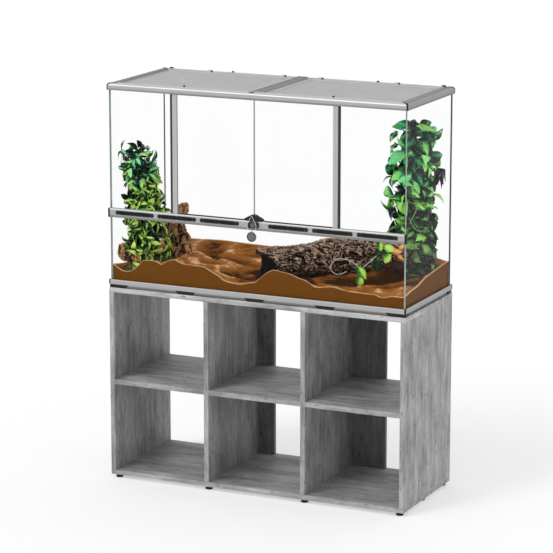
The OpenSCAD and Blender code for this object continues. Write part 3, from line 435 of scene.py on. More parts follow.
@dataclass(frozen=True)
class Sand(Finish):
    """Red-brown sand with painted light and shade: painted highlights on its crests, ripples and
    rim, painted shade in its hollows, round the log and on the cut sides where it lies on the
    panes.
    """

    # the upward faces' colours, from painted shade in the hollows to painted highlight on the
    # crests
    top: tuple[tuple[float, Colour], ...] = (
        (0.02, (0.050, 0.020, 0.006)), (0.42, (0.31, 0.104, 0.017)),
        (0.78, (0.42, 0.162, 0.037)), (0.93, (0.62, 0.275, 0.090)), (1.0, (0.88, 0.52, 0.28)))
    # the cut sides' colours, darker than the top's: painted shade on faces turned sideways
    cut: tuple[tuple[float, Colour], ...] = (
        (0.32, (0.070, 0.022, 0.001)), (0.5, (0.138, 0.046, 0.003)),
        (0.7, (0.29, 0.115, 0.018)))
    # a painted highlight along the sand's edge at the panes
    rim: Colour = (0.82, 0.54, 0.31)

    def build(self) -> bpy.types.Material:
        """Builds the node tree.

        Returns:
            The finished material.
        """
        g = Graph("sand")
        grains = g.noise(330, rough=0.8)
        clouds = g.noise((26, 26, 30), detail=6, rough=0.7)
        # painted light and shade: the higher the sand lies, the paler it is
        tone = g.waver(g.held("crest"), clouds, 0.8)
        tone = g.waver(tone, grains, 0.3)
        # painted highlight: a pale line along each ripple's ridge
        waves = g.noise((16, 24, 10), detail=3)
        crease = g.math("ABSOLUTE", g.math("SUBTRACT", waves, 0.5))
        tone = g.math("ADD", tone, g.span(crease, 0.035, 0.0, 0.0, 0.24))
        # painted shade of the log, darkening the sand round its foot
        tone = g.math("SUBTRACT", tone, g.times(g.held("painted_log_shade"), 0.62))
        # faces turned sideways take the darker cut colours: painted shade
        above = g.span(g.upward(), 0.05, 0.25)
        colour = g.mix(above, g.ramp(grains, self.cut), g.ramp(tone, self.top))
        # painted highlight: the rim at the panes turns pale
        lip = g.times(g.span(g.held("rim"), 0.4, 0.7), g.span(clouds, 0.34, 0.5, 0.25, 1.0))
        ripples = g.math("ADD", grains, g.span(crease, 0.10, 0.0, 0.0, 1.2))
        return g.principled(
            Base_Color=g.mix(lip, colour, self.rim),
            Roughness=0.85,
            Specular_IOR_Level=0.03,
            Normal=g.bump(ripples, 0.0014, 0.8),
        )


@dataclass(frozen=True)
class Bark(Finish):
    """Rough bark: pale ridges over dark cracks, by the height that its mesh was given. The ridges'
    pale is partly a painted highlight and the cracks' dark partly painted shade.
    """

    name: str
    crack: Colour
    body: Colour
    ridge: Colour
    # the grain's repeats in a metre, and the height that takes the body's colour
    scale: float
    middle: float = 0.52

    def build(self) -> bpy.types.Material:
        """Builds the node tree.

        Returns:
            The finished material.
        """
        g = Graph(f"bark_{self.name}")
        rough = g.noise(self.scale, detail=6, rough=0.7)
        fine = g.noise(self.scale * 6, rough=0.7)
        tone = g.waver(g.waver(g.held("relief"), rough, 0.7), fine, 0.5)
        stops = [(0.25, self.crack), (self.middle, self.body), (0.90, self.ridge)]
        return g.principled(
            Base_Color=g.ramp(tone, stops),
            Roughness=0.85,
            Specular_IOR_Level=0.2,
            Normal=g.bump(g.math("ADD", rough, g.times(fine, 0.7)), 0.005, 0.9),
        )


@dataclass(frozen=True)
class Leaf(Finish):
    """Artificial leaf: each leaf's own green, a pale rib and, on some, a pale middle, with painted
    light and shade over them.
    """

    name: str
    # from the gaps between the leaves, in painted shade, to their brightest parts, in painted
    # highlight
    gap: Colour
    shade: Colour
    middle: Colour
    bright: Colour
    # the colour of the leaves above a height, and of those below another
    cool: Colour
    cool_from: float
    foot: Colour = (0.02, 0.03, 0.01)
    foot_below: float = 0.0
    pale: Colour = (0.72, 0.84, 0.36)
    variegated: float = 0.4
    # the painted difference between a leaf's lit and shaded halves, the contrast's stretch and its
    # shift
    lit_half: float = 0.12
    flat: float = 0.10
    dim: float = 0.0

    def build(self) -> bpy.types.Material:
        """Builds the node tree.

        Returns:
            The finished material.
        """
        g = Graph(f"leaf_{self.name}")
        across = g.held("across")
        mottle = g.noise(150, detail=3)
        patch = g.noise((19, 19, 13), detail=2)
        tone = g.held("tone")
        # painted light and shade: darker bases and lighter tips, a lit half and a shaded half,
        # darker edges and lighter middles
        for part in (g.span(g.held("along"), 0.0, 1.0, -0.16, 0.14),
                     g.span(g.held("half"), 0.36, 0.64, -self.lit_half, self.lit_half),
                     g.span(across, 0.95, 0.25, -0.10, 0.08)):
            tone = g.math("ADD", tone, part)
        tone = g.waver(tone, mottle, 0.5)
        tone = g.span(tone, self.dim + self.flat, self.dim + 1.0 - self.flat)
        colour = g.ramp(tone, [(0.16, self.gap), (0.36, self.shade), (0.56, self.middle),
                               (0.80, self.bright)])
        cooler = g.ramp(tone, [(0.16, self.gap), (0.42, shaded(self.cool, 0.3)),
                               (0.76, self.cool)])
        high = g.times(g.span(g.height, self.cool_from, self.cool_from + 0.12),
                       g.span(patch, 0.4, 0.58, 0.05, 0.95))
        # pale middles: variegation shown only on the lighter tones, so partly a painted highlight
        pale = g.times(g.span(across, 0.75, 0.2), g.span(tone, 0.6, 0.85),
                       g.span(mottle, 0.4, 0.6, 0.0, self.variegated))
        low = g.times(g.span(g.height, self.foot_below, self.foot_below - 0.1),
                      g.span(patch, 0.62, 0.45, 0.35, 1.0))
        for share, other in ((high, cooler), (pale, self.pale), (low, self.foot)):
            colour = g.mix(share, colour, other)
        rib = g.times(g.span(across, 0.12, 0.03, 0.0, 0.45), g.span(tone, 0.4, 0.7),
                      g.math("SUBTRACT", 1.0, low))
        return g.principled(
            Base_Color=g.mix(rib, colour, self.bright),
            Roughness=g.span(mottle, 0.3, 0.7, 0.24, 0.38),
            Specular_IOR_Level=0.16,
            Normal=g.bump(mottle, 0.0008, 0.4),
        )


@dataclass(frozen=True)
class Stem(Finish):
    """Thin coated stems, and the twiggy heart of the plants, dark with painted shade."""

    name: str
    dark: Colour = (0.012, 0.016, 0.008)
    light: Colour = (0.06, 0.07, 0.03)

    def build(self) -> bpy.types.Material:
        """Builds the node tree.

        Returns:
            The finished material.
        """
        g = Graph(f"stem_{self.name}")
        knots = g.noise((140, 140, 60), detail=5, rough=0.7)
        return g.principled(
            Base_Color=g.ramp(knots, [(0.35, self.dark), (0.75, self.light)]),
            Roughness=0.6,
            Normal=g.bump(knots, 0.003, 0.8),
        )


# --- the bench: primitives and edit mode -------------------------------------------------------


class Bench:
    """Adds primitives and shapes them in edit mode, one piece at a time."""

    def clear(self) -> None:
        """Leaves edit mode and deselects everything."""
        if bpy.context.object and bpy.context.object.mode != "OBJECT":
            bpy.ops.object.mode_set(mode="OBJECT")
        bpy.ops.object.select_all(action="DESELECT")

    def take(self, obj: bpy.types.Object) -> bpy.types.Object:
        """Makes an object the only selected one and the active one.

        Args:
            obj: the object.

        Returns:
            The same object.
        """
        self.clear()
        obj.select_set(True)
        bpy.context.view_layer.objects.active = obj
        return obj

    def settle(self, name: str) -> bpy.types.Object:
        """Names the primitive just added and puts its place into its mesh.

        Args:
            name: the object's name.

        Returns:
            The primitive.
        """
        obj = self.take(bpy.context.object)
        obj.name = obj.data.name = name
        bpy.ops.object.transform_apply(location=True, rotation=True, scale=True)
        return obj

    def cube(self, name: str, low: Point, high: Point) -> bpy.types.Object:
        """Adds a block.

        Args:
            name: the object's name.
            low: its lower corner.
            high: its upper corner.

        Returns:
            The new object.
        """
        self.clear()
        middle = [(a + b) / 2 for a, b in zip(low, high)]
        bpy.ops.mesh.primitive_cube_add(size=1, location=middle)
        bpy.context.object.scale = [b - a for a, b in zip(low, high)]
        return self.settle(name)

    def cylinder(self, name: str, radius: float, length: float, middle: Point, axis: Axis,
                 sides: int = 32, open_ended: bool = False) -> bpy.types.Object:
        """Adds a cylinder.

        Args:
            name: the object's name.
            radius: its radius.
            length: its length.
            middle: the middle of its axis.
            axis: the direction of its axis.
            sides: faces round it.
            open_ended: True for a tube without end faces.

        Returns:
            The new object.
        """
        self.clear()
        right = math.pi / 2
        turn = {Axis.X: (0, right, 0), Axis.Y: (right, 0, 0), Axis.Z: (0, 0, 0)}[axis]
        bpy.ops.mesh.primitive_cylinder_add(
            vertices=sides, radius=radius, depth=length, location=middle, rotation=turn,
            end_fill_type="NOTHING" if open_ended else "NGON")
        return self.settle(name)

    def grid(self, name: str, columns: int, rows: int) -> bpy.types.Object:
        """Adds a flat unit grid, from 0 to 1 along X and Y.

        Args:
            name: the object's name.
            columns: its faces along X.
            rows: its faces along Y.

        Returns:
            The new object.
        """
        self.clear()
        bpy.ops.mesh.primitive_grid_add(
            x_subdivisions=columns, y_subdivisions=rows, size=1, location=(0.5, 0.5, 0))
        return self.settle(name)

    @contextmanager
    def editing(self, obj: bpy.types.Object, mode: str = "FACE") -> Iterator[bmesh.types.BMesh]:
        """Opens obj in edit mode with nothing selected, and closes it again.

        Args:
            obj: the object to edit.
            mode: what is selected: VERT, EDGE or FACE.

        Yields:
            The mesh being edited.
        """
        self.take(obj)
        bpy.ops.object.mode_set(mode="EDIT")
        bpy.ops.mesh.select_mode(type=mode)
        bpy.ops.mesh.select_all(action="DESELECT")
        yield bmesh.from_edit_mesh(obj.data)
        bpy.ops.object.mode_set(mode="OBJECT")

    def pick(self, mesh: bmesh.types.BMesh, obj: bpy.types.Object, chosen: Callable[[Any], bool],
             kind: str = "faces") -> None:
        """Selects parts of a mesh that is being edited.

        Args:
            mesh: the mesh.
            obj: its object.
            chosen: tells whether a part is wanted.
            kind: what is asked about: faces, edges or verts.
        """
        for item in getattr(mesh, kind):
            if chosen(item):
                item.select_set(True)
        bmesh.update_edit_mesh(obj.data)

    def modify(self, obj: bpy.types.Object, kind: str, **settings: Any) -> bpy.types.Object:
        """Adds a modifier and applies it.

        Args:
            obj: the object.
            kind: the modifier's type.
            settings: the modifier's own properties.

        Returns:
            The same object.
        """
        self.take(obj)
        modifier = obj.modifiers.new(kind.lower(), kind)
        for key, value in settings.items():
            setattr(modifier, key, value)
        bpy.ops.object.modifier_apply(modifier=modifier.name)
        return obj

    def bevel(self, obj: bpy.types.Object, width: float, segments: int = 2,
              **settings: Any) -> bpy.types.Object:
        """Rounds an object's sharp edges."""
        settings = {"width": width, "segments": segments, "limit_method": "ANGLE", **settings}
        return self.modify(obj, "BEVEL", **settings)

    def arris(self, obj: bpy.types.Object, width: float, segments: int) -> bpy.types.Object:
        """Bevels all of a block's edges.

        Args:
            obj: the block.
            width: the bevel's width.
            segments: faces across it.

        Returns:
            The same block.
        """
        with self.editing(obj, "EDGE"):
            bpy.ops.mesh.select_all(action="SELECT")
            bpy.ops.mesh.bevel(offset=width, segments=segments, affect="EDGES")
        return obj

    def reshape(self, obj: bpy.types.Object, move: Callable[[Vector], Point]) -> bpy.types.Object:
        """Moves every vertex.

        Args:
            obj: the object.
            move: tells where a vertex goes.

        Returns:
            The same object.
        """
        for vertex in obj.data.vertices:
            vertex.co = move(vertex.co)
        return obj

    def tidy(self, obj: bpy.types.Object, merge: float = 1e-6,
             fill: bool = False) -> bpy.types.Object:
        """Merges doubles and turns the faces outwards.

        Args:
            obj: the object.
            merge: how far apart doubles may lie.
            fill: True if holes are closed too.

        Returns:
            The same object.
        """
        with self.editing(obj, "VERT"):
            bpy.ops.mesh.select_all(action="SELECT")
            bpy.ops.mesh.remove_doubles(threshold=merge)
            if fill:
                bpy.ops.mesh.fill_holes(sides=0)
            bpy.ops.mesh.normals_make_consistent(inside=False)
        return obj

    def join(self, name: str, parts: Sequence[bpy.types.Object]) -> bpy.types.Object:
        """Joins objects into the first of them.

        Args:
            name: the joined object's name.
            parts: the objects.

        Returns:
            The joined object.
        """
        self.take(parts[0])
        for part in parts:
            part.select_set(True)
        bpy.ops.object.join()
        parts[0].name = parts[0].data.name = name
        return parts[0]

    def copy(self, obj: bpy.types.Object, matrix: Matrix) -> bpy.types.Object:
        """Copies an object with its mesh.

        Args:
            obj: the object.
            matrix: how the copy is moved.

        Returns:
            The copy.
        """
        twin = obj.copy()
        twin.data = obj.data.copy()
        twin.data.transform(matrix)
        bpy.context.scene.collection.objects.link(twin)
        return twin

    def smooth(self, obj: bpy.types.Object, degrees: float = CRISP) -> bpy.types.Object:
        """Shades an object smooth.

        Args:
            obj: the object.
            degrees: the angle past which an edge stays sharp.

        Returns:
            The same object.
        """
        self.take(obj)
        bpy.ops.object.shade_smooth_by_angle(angle=math.radians(degrees))
        return obj

    def drop(self, *objects: bpy.types.Object) -> None:
        """Deletes helper objects."""
        for obj in objects:
            bpy.data.objects.remove(obj)


bench = Bench()


def coat(obj: bpy.types.Object, *finishes: Finish) -> bpy.types.Object:
    """Adds finishes to an object's material slots.

    Args:
        obj: the object.
        finishes: the finishes, in the order of the slots.

    Returns:
        The same object.
    """
    for finish in finishes:
        obj.data.materials.append(finish.material())
    return obj


def hand_in(obj: bpy.types.Object, body: str, slot: str, finish: Finish, *nodes: str) -> None:
    """Gives a finished piece its finish and body, and hides the nodes that it stands for.

    Args:
        obj: the piece.
        body: the body that it rides on.
        slot: the record's material slot; not used.
        finish: its main finish; further slots that it already has are kept.
        nodes: the CAD nodes that it replaces.
    """
    if not obj.data.materials:
        coat(obj, finish)
    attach(obj, body)
    if nodes:
        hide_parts(*nodes)
    log.info("%s: %d faces, rides on %s", obj.name, len(obj.data.polygons), body)


def body_of(node: str) -> str:
    """Returns the body that a CAD node belongs to."""
    bodies = frame["record"]["behaviour"]["bodies"]
    return next(name for name, nodes in bodies.items() if node in nodes)


def slot_of(node: str) -> str:
    """Returns the material slot of a CAD node."""
    parts = frame["record"]["subparts"]
    return next(part["material_slot"] for part in parts if part["node"] == node)


def bare_copy(node: str, name: str, merge: float = 1e-6) -> bpy.types.Object:
    """Copies a CAD node as an object of its own, without the node's keys and finish.

    Args:
        node: the CAD node.
        name: the copy's name.
        merge: how far apart the doubles in its mesh may lie.

    Returns:
        The copy.
    """
    part = bench.copy(frame["nodes"][node], Matrix.Identity(4))
    part.parent = None
    part.name = part.data.name = name
    for key in list(part.keys()):
        del part[key]
    part.data.materials.clear()
    return bench.tidy(part, merge)


def keep(obj: bpy.types.Object, name: str, values: Sequence[float]) -> None:
    """Stores one value for each of the mesh's points, under a name that finishes read."""
    held = obj.data.attributes.new(name, "FLOAT", "POINT")
    held.data.foreach_set("value", values)


def clamped(p: Point, low: Point, high: Point) -> list[float]:
    """Returns a point, pulled inside a box."""
    return [min(max(c, a), b) for c, a, b in zip(p, low, high)]


def spread(values: Sequence[float], low: float = 0.04, high: float = 0.96) -> list[float]:
    """Stretches values so that all but the outermost fill the span from 0 to 1.

    Args:
        values: the values.
        low: the share of them that becomes 0.
        high: the share of them above which they become 1.

    Returns:
        The stretched values.
    """
    ranked = sorted(values)
    bottom, top = ranked[int(low * len(ranked))], ranked[int(high * len(ranked))]
    return [min(1.0, max(0.0, (v - bottom) / (top - bottom))) for v in values]


def folds(p: Vector, warp: float = 1.1) -> float:
    """Returns a bent ridge pattern: 1 on the ridges, down to -1 between them."""
    bent = p + warp * noise.noise_vector(p * 0.45)
    return 1 - 2 * abs(noise.noise(bent)) * 1.4


def ease(t: float) -> float:
    """Returns a share from 0 to 1, eased at both ends."""
    t = min(1.0, max(0.0, t))
    return t * t * (3 - 2 * t)


# --- sub-assemblies ----------------------------------------------------------------------------


@dataclass
class GlassWork:
    """The panes, each a sheet with ground edges."""

    arris: float = 0.6 * MM
    # the door panes' edges take the darker copy and the others the paler one: painted shade and
    # painted light
    inner_edge: GroundEdge = GroundEdge("deep", (0.035, 0.070, 0.058), (0.09, 0.15, 0.13))
    outer_edge: GroundEdge = GroundEdge("pale", (0.27, 0.37, 0.34), (0.46, 0.58, 0.54))
    nodes: tuple[str, ...] = (
        "floor_pane", "back_pane", "side_pane_left", "side_pane_right", "front_pane_lower",
        "front_pane_left", "front_pane_right", "door_pane_left", "door_pane_right")

    def build(self) -> None:
        """Builds every pane and puts it in its node's place."""
        for node in self.nodes:
            self.pane(node)

    def pane(self, node: str) -> None:
        """Makes one pane from its node's box: a block with all its edges arrissed.

        Args:
            node: the pane's CAD node.
        """
        low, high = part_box(node)
        size = high - low
        thin = min(range(3), key=lambda i: size[i])
        sheet = bench.arris(bench.cube(f"{node}_sheet", low, high), self.arris, 2)
        edge = self.inner_edge if node.startswith("door") else self.outer_edge
        coat(sheet, ClearPane(), edge)
        for face in sheet.data.polygons:
            face.material_index = 0 if abs(face.normal[thin]) > 0.99 else 1
        hand_in(sheet, body_of(node), slot_of(node), ClearPane(), node)


@dataclass
class SandBed:
    """The sand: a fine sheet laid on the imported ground, with dunes and crumbs, closed below."""

    columns: int = 340
    rows: int = 124
    # how far above the ground the sheet starts, before it is laid down
    over: float = 0.2
    dune: float = 15 * MM
    # how far from the panes the dunes, and the pale rim's painted highlight, reach their end
    margin: float = 34 * MM
    rim: float = 12 * MM
    lip: float = 3.5 * MM
    # rounds of smoothing, at the panes and away from them
    laid: int = 4
    calm: int = 60
    closed_crest: float = 0.3
    # the log's shade on the sand: its middle line's ends, and where the shade starts and stops
    shade_line: tuple[tuple[float, float], tuple[float, float]] = ((0.03, -0.09), (0.50, 0.03))
    shade: tuple[float, float] = (0.075, 0.21)

    def build(self) -> None:
        """Builds the bed in place of the ground node."""
        low, high = self.low, self.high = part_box("ground")
        bed = bench.grid("sand_bed", self.columns, self.rows)
        span = high - low
        top = high.z + self.over
        bench.reshape(bed, lambda p: (low.x + p.x * span.x, low.y + p.y * span.y, top))
        target = bare_copy("ground", "packed_ground", 1e-5)
        bench.modify(bed, "SHRINKWRAP", target=target, wrap_method="PROJECT", use_project_x=False,
                     use_project_y=False, use_project_z=True, use_negative_direction=True,
                     use_positive_direction=False)
        bench.drop(target)
        bench.reshape(bed, lambda p: (p.x, p.y, p.z if p.z < top - 0.1 else high.z - 20 * MM))
        level = {"factor": 0.5, "use_x": False, "use_y": False, "use_z": True}
        bench.modify(bed, "SMOOTH", iterations=self.laid, **level)
        edges = [v.co.z for v in bed.data.vertices]
        bench.modify(bed, "SMOOTH", iterations=self.calm, **level)
        for vertex, edge in zip(bed.data.vertices, edges):
            share = 1 - ease(self.inward(vertex.co) / self.margin)
            vertex.co.z += (edge - vertex.co.z) * share
        points = [v.co.copy() for v in bed.data.vertices]
        relief = [self.relief(p) for p in points]
        rims = [1 - ease(self.inward(p) / self.rim) for p in points]
        for vertex, point, height in zip(bed.data.vertices, points, relief):
            vertex.co.z = min(high.z - 1 * MM, point.z + height)
        self.close(bed, low)
        more = len(bed.data.vertices) - len(points)
        keep(bed, "crest", spread(relief) + [self.closed_crest] * more)
        keep(bed, "rim", rims + [0.0] * more)
        keep(bed, "painted_log_shade", [self.painted_log_shade(p) for p in points] + [0.0] * more)
        bench.smooth(bed, 50)
        hand_in(bed, ROOT, "sand", Sand(), "ground")

    def close(self, bed: bpy.types.Object, low: Vector) -> None:
        """Adds the cut sides, with a narrow band under their upper edge, and the underside.

        Args:
            bed: the sheet.
            low: the bed's lower corner.
        """
        with bench.editing(bed, "EDGE") as mesh:
            bench.pick(mesh, bed, lambda edge: edge.is_boundary, "edges")
            bpy.ops.mesh.extrude_edges_move(TRANSFORM_OT_translate={"value": (0, 0, -self.lip)})
            bpy.ops.mesh.extrude_edges_move(TRANSFORM_OT_translate={"value": (0, 0, -0.01)})
            bpy.ops.transform.resize(value=(1, 1, 0), center_override=(0, 0, low.z))
            bpy.ops.mesh.edge_face_add()
            bpy.ops.mesh.select_all(action="SELECT")
            bpy.ops.mesh.normals_make_consistent(inside=False)

    def inward(self, p: Vector) -> float:
        """Returns the distance of a point from the nearest pane."""
        low, high = self.low, self.high
        return min(p.x - low.x, high.x - p.x, p.y - low.y, high.y - p.y)

    def painted_log_shade(self, p: Vector) -> float:
        """Tells how much of the log's painted shade darkens the sand.

        Args:
            p: a point on the sand.

        Returns:
            1 beside the log, down to 0 away from it.
        """
        start, stop = (Vector((*end, 0.0)) for end in self.shade_line)
        flat, way = Vector((p.x, p.y, 0.0)), stop - start
        share = min(1.0, max(0.0, (flat - start).dot(way) / way.dot(way)))
        away = (flat - start - way * share).length + 0.03 * noise.noise(flat * 14)
        return 1 - ease((away - self.shade[0]) / (self.shade[1] - self.shade[0]))

    def relief(self, p: Vector) -> float:
        """Adds up dunes, lumps and crumbs.

        Args:
            p: a point on the sand.

        Returns:
            What they add to its height.
        """
        flat = Vector((p.x, p.y * 1.3, 0.3))
        small = folds(flat * 12 + Vector((3, 7, 0)), 1.3)
        dunes = folds(flat * 5.2, 1.4) * 0.7 + small * 0.3 - 0.45
        lumps = noise.noise(flat * 34) * 1.8 + noise.noise(flat * 85) * 1.2
        inner = ease(self.inward(p) / self.margin)
        return self.dune * dunes * inner + lumps * (0.35 + 0.65 * inner) * MM


@dataclass
class HollowLog:
    """The hollow log: a gnarled shell along a bent line, with a slanting cave at its left end."""

    node: str = "hollow_log"
    rings: int = 380
    sides: int = 170
    # the share of the sheet that covers the outside, and the cave's length, wall and slant
    outer_share: float = 0.82
    cave: float = 0.13 / 0.54
    wall: float = 15 * MM
    slant: float = 0.125
    depth: float = 16 * MM
    cave_depth: float = 6 * MM
    # where the middle line starts, how far it drifts back, its foot and its rise
    start: float = -0.111
    drift: float = 0.148
    foot: float = 0.751
    rise: float = 0.128
    radius: float = 0.064
    lumpy: float = 0.20
    # how light the ridges stay in the cave's painted shade, and the heights between which painted
    # shade darkens the lower log
    cave_shade_share: float = 0.3
    lower_shade: tuple[float, float] = (0.808, 0.880)
    finish: Bark = Bark("log", (0.009, 0.004, 0.003), (0.105, 0.051, 0.028),
                        (0.80, 0.57, 0.43), 170, 0.60)

    def build(self) -> None:
        """Builds the log in place of its node."""
        low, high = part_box(self.node)
        self.left, self.right = low.x + 2 * MM, high.x - 4 * MM
        shell = bench.grid("gnarled_log", self.rings, self.sides)
        sheet = [(v.co.x, v.co.y) for v in shell.data.vertices]
        plain = [self.spot(u, v, 0.0) for u, v in sheet]
        relief = spread([self.relief(p) for p in plain])
        # painted shade: the ridges' pale colour is dimmed low on the log and inside the cave
        keep(shell, "relief", [h * (self.light(p) if u < self.outer_share else self.cave_shade_share)
                               for (u, _), p, h in zip(sheet, plain, relief)])
        for vertex, (u, v), height in zip(shell.data.vertices, sheet, relief):
            vertex.co = self.spot(u, v, height - 0.55)
        bench.tidy(shell, 2e-5, fill=True)
        bench.smooth(shell, GROWN)
        hand_in(shell, ROOT, "log_wood", self.finish, self.node)

    def light(self, p: Vector) -> float:
        """Returns how much of its pale ridges the bark keeps: less near the sand, where painted
        shade falls.
        """
        low, high = self.lower_shade
        return 0.42 + 0.58 * ease((p.z - low) / (high - low))

    def line(self, t: float) -> tuple[Vector, float]:
        """Follows the log's middle line.

        Args:
            t: a share of its length, from the left.

        Returns:
            The middle and the radius there.
        """
        middle = Vector((self.left + t * (self.right - self.left),
                         self.start + self.drift * ease(t),
                         self.foot + self.rise * (0.72 + 0.34 * ease(t * 1.6))))
        swell = 0.86 + 0.22 * math.sin(math.radians(150 * t + 20)) - 0.18 * t * t
        return middle, self.radius * swell

    def relief(self, p: Vector) -> float:
        """Returns the bark's height at a point: long winding ridges with deep cracks between."""
        q = Vector((p.x / 0.036, p.y / 0.0105, p.z / 0.0105))
        return 0.65 * folds(q, 2.4) + 0.35 * folds(q * 1.8 + Vector((5, 1, 9)), 1.8)

    def spot(self, u: float, v: float, height: float) -> Vector:
        """Wraps the sheet over the log's outside, from right to left, and then into its cave.

        Args:
            u: the point's share of the sheet's length.
            v: its share of the sheet's width.
            height: the bark's height there.

        Returns:
            The point's place.
        """
        outside = u < self.outer_share
        inward = 0.0 if outside else (u - self.outer_share) / (1 - self.outer_share)
        t = 1 - u / self.outer_share if outside else inward * self.cave
        middle, radius = self.line(t)
        turn = 2 * math.pi * v
        lump = noise.noise(Vector((t * 6, math.cos(turn), math.sin(turn))) * 1.2)
        grown = 0.95 + self.lumpy * lump
        if outside:
            grown = radius * grown + self.depth * height
            grown *= min(1.0, 0.35 + (1 - t) * 8)
        else:
            grown = (radius - self.wall - 12 * MM * inward) * grown + self.cave_depth * height
            grown *= min(1.0, 0.25 + (1 - inward) * 5)
        front = max(0.0, -math.cos(turn) - 0.1) * self.slant * (1 - ease(t / 0.35))
        return middle + Vector((front, math.cos(turn) * grown, math.sin(turn) * grown))


@dataclass
class CorkBark:
    """Upright bark: rough columns and blocks grown into one body."""

    name: str
    nodes: tuple[str, ...]
    # each lump: its middle's X, Y and Z, and its half sizes
    lumps: tuple[tuple[float, ...], ...]
    finish: Bark
    voxel: float = 2.0 * MM
    depth: float = 10 * MM

    def build(self) -> None:
        """Builds the bark from its lumps."""
        parts = [self.lump(i, values) for i, values in enumerate(self.lumps)]
        bark = bench.join(self.name, parts)
        bench.modify(bark, "REMESH", mode="VOXEL", voxel_size=self.voxel)
        bench.modify(bark, "SMOOTH", factor=0.5, iterations=2)
        normals = [v.normal.copy() for v in bark.data.vertices]
        relief = spread([self.relief(v.co) for v in bark.data.vertices])
        for vertex, normal, height in zip(bark.data.vertices, normals, relief):
            vertex.co += normal * (height - 0.6) * self.depth
        keep(bark, "relief", relief)
        bench.smooth(bark, GROWN)
        hand_in(bark, ROOT, "cork", self.finish, *self.nodes)

    def lump(self, number: int, values: Sequence[float]) -> bpy.types.Object:
        """Makes one block with pulled-in corners.

        Args:
            number: the block's number.
            values: its middle and its half sizes.

        Returns:
            The block.
        """
        middle, half = Vector(values[:3]), Vector(values[3:])
        block = bench.cube(f"lump_{number}", middle - half, middle + half)
        with bench.editing(block):
            bpy.ops.mesh.select_all(action="SELECT")
            bpy.ops.mesh.subdivide(number_cuts=4)
        turn = 0.2 * math.sin(number * 2.1)

        def move(p: Vector) -> Vector:
            """Pulls the corners in and turns the block a little.

            Args:
                p: a point on the block.

            Returns:
                Its new place.
            """
            q = p - middle
            reach = (q.x / half.x) ** 2 + (q.y / half.y) ** 2 + (q.z / half.z) ** 2
            q *= 1 - 0.10 * reach + 0.12 * noise.noise(p * 45)
            return middle + Matrix.Rotation(turn, 3, "Y") @ q

        return bench.reshape(block, move)

    def relief(self, p: Vector) -> float:
        """Adds up cracks, plates and crumbs.

        Args:
            p: a point on the bark.

        Returns:
            The bark's height there.
        """
        crack = folds(Vector((p.x * 34, p.y * 34, p.z * 11)), 0.9)
        plates = folds(Vector((p.x * 74, p.y * 74, p.z * 38)) + Vector((2, 5, 1)), 1.2)
        crumbs = noise.noise(p * 120) + 0.8 * noise.noise(p * 250)
        return 0.42 * crumbs - 0.34 * plates - 0.9 * max(0.0, crack - 0.3)


class LeafShape(Enum):
    """The outline of a leaf: its half width at equal steps of its length."""

    LANCE = (0.03, 0.165, 0.23, 0.22, 0.15, 0.014)
    HEART = (0.13, 0.28, 0.34, 0.33, 0.27, 0.16, 0.014)


@dataclass
class LeafMaker:
    """Models one leaf of unit length, and copies it to where a plant wants it."""

    shape: LeafShape
    thick: float = 0.5 * MM
    fold: float = 0.15
    droop: float = 0.24

    def model(self) -> bpy.types.Object:
        """Makes the leaf from a small grid, along +X with its tip drooping.

        Returns:
            The leaf, of unit length.
        """
        widths = self.shape.value
        leaf = bench.grid("leaf_model", len(widths) - 1, 2)
        spots = [v.co.copy() for v in leaf.data.vertices]
        keep(leaf, "across", [abs(p.y - 0.5) * 2 for p in spots])
        keep(leaf, "along", [p.x for p in spots])
        keep(leaf, "half", [p.y for p in spots])

        def move(p: Vector) -> Point:
            """Gives the grid the leaf's outline, fold and bow.

            Args:
                p: a point of the grid.

            Returns:
                Its place on the leaf.
            """
            half = widths[round(p.x * (len(widths) - 1))]
            y = (p.y - 0.5) * 2
            back = 0.12 * abs(y) * (p.x < 0.1) * (self.shape is LeafShape.HEART)
            rise = self.fold * abs(y) * half * 2.4 + 0.10 * math.sin(math.pi * p.x)
            return p.x - back, y * half, rise - self.droop * p.x ** 2.2

        return bench.reshape(leaf, move)

    def grow(self, name: str, places: Sequence[tuple[Matrix, float]]) -> bpy.types.Object:
        """Copies the leaf to every place and joins the copies into one closed bunch.

        Args:
            name: the bunch's name.
            places: each leaf's matrix and tone.

        Returns:
            The bunch.
        """
        model = self.model()
        leaves = []
        for matrix, tone in places:
            leaves.append(bench.copy(model, matrix))
            keep(leaves[-1], "tone", [tone] * len(model.data.vertices))
        bench.drop(model)
        bunch = bench.join(name, leaves)
        return bench.modify(bunch, "SOLIDIFY", thickness=self.thick, offset=0.0)


def leaf_matrix(base: Vector, tip: Vector, out: Vector, size: float) -> Matrix:
    """Places a leaf of unit length.

    Args:
        base: where the leaf starts.
        tip: the way to its tip.
        out: the way that it faces.
        size: its length.

    Returns:
        The leaf's matrix.
    """
    x = tip.normalized()
    z = (out - x * out.dot(x)).normalized()
    turn = Matrix((x, z.cross(x), z)).transposed().to_4x4()
    return Matrix.Translation(base) @ turn @ Matrix.Scale(size, 4)


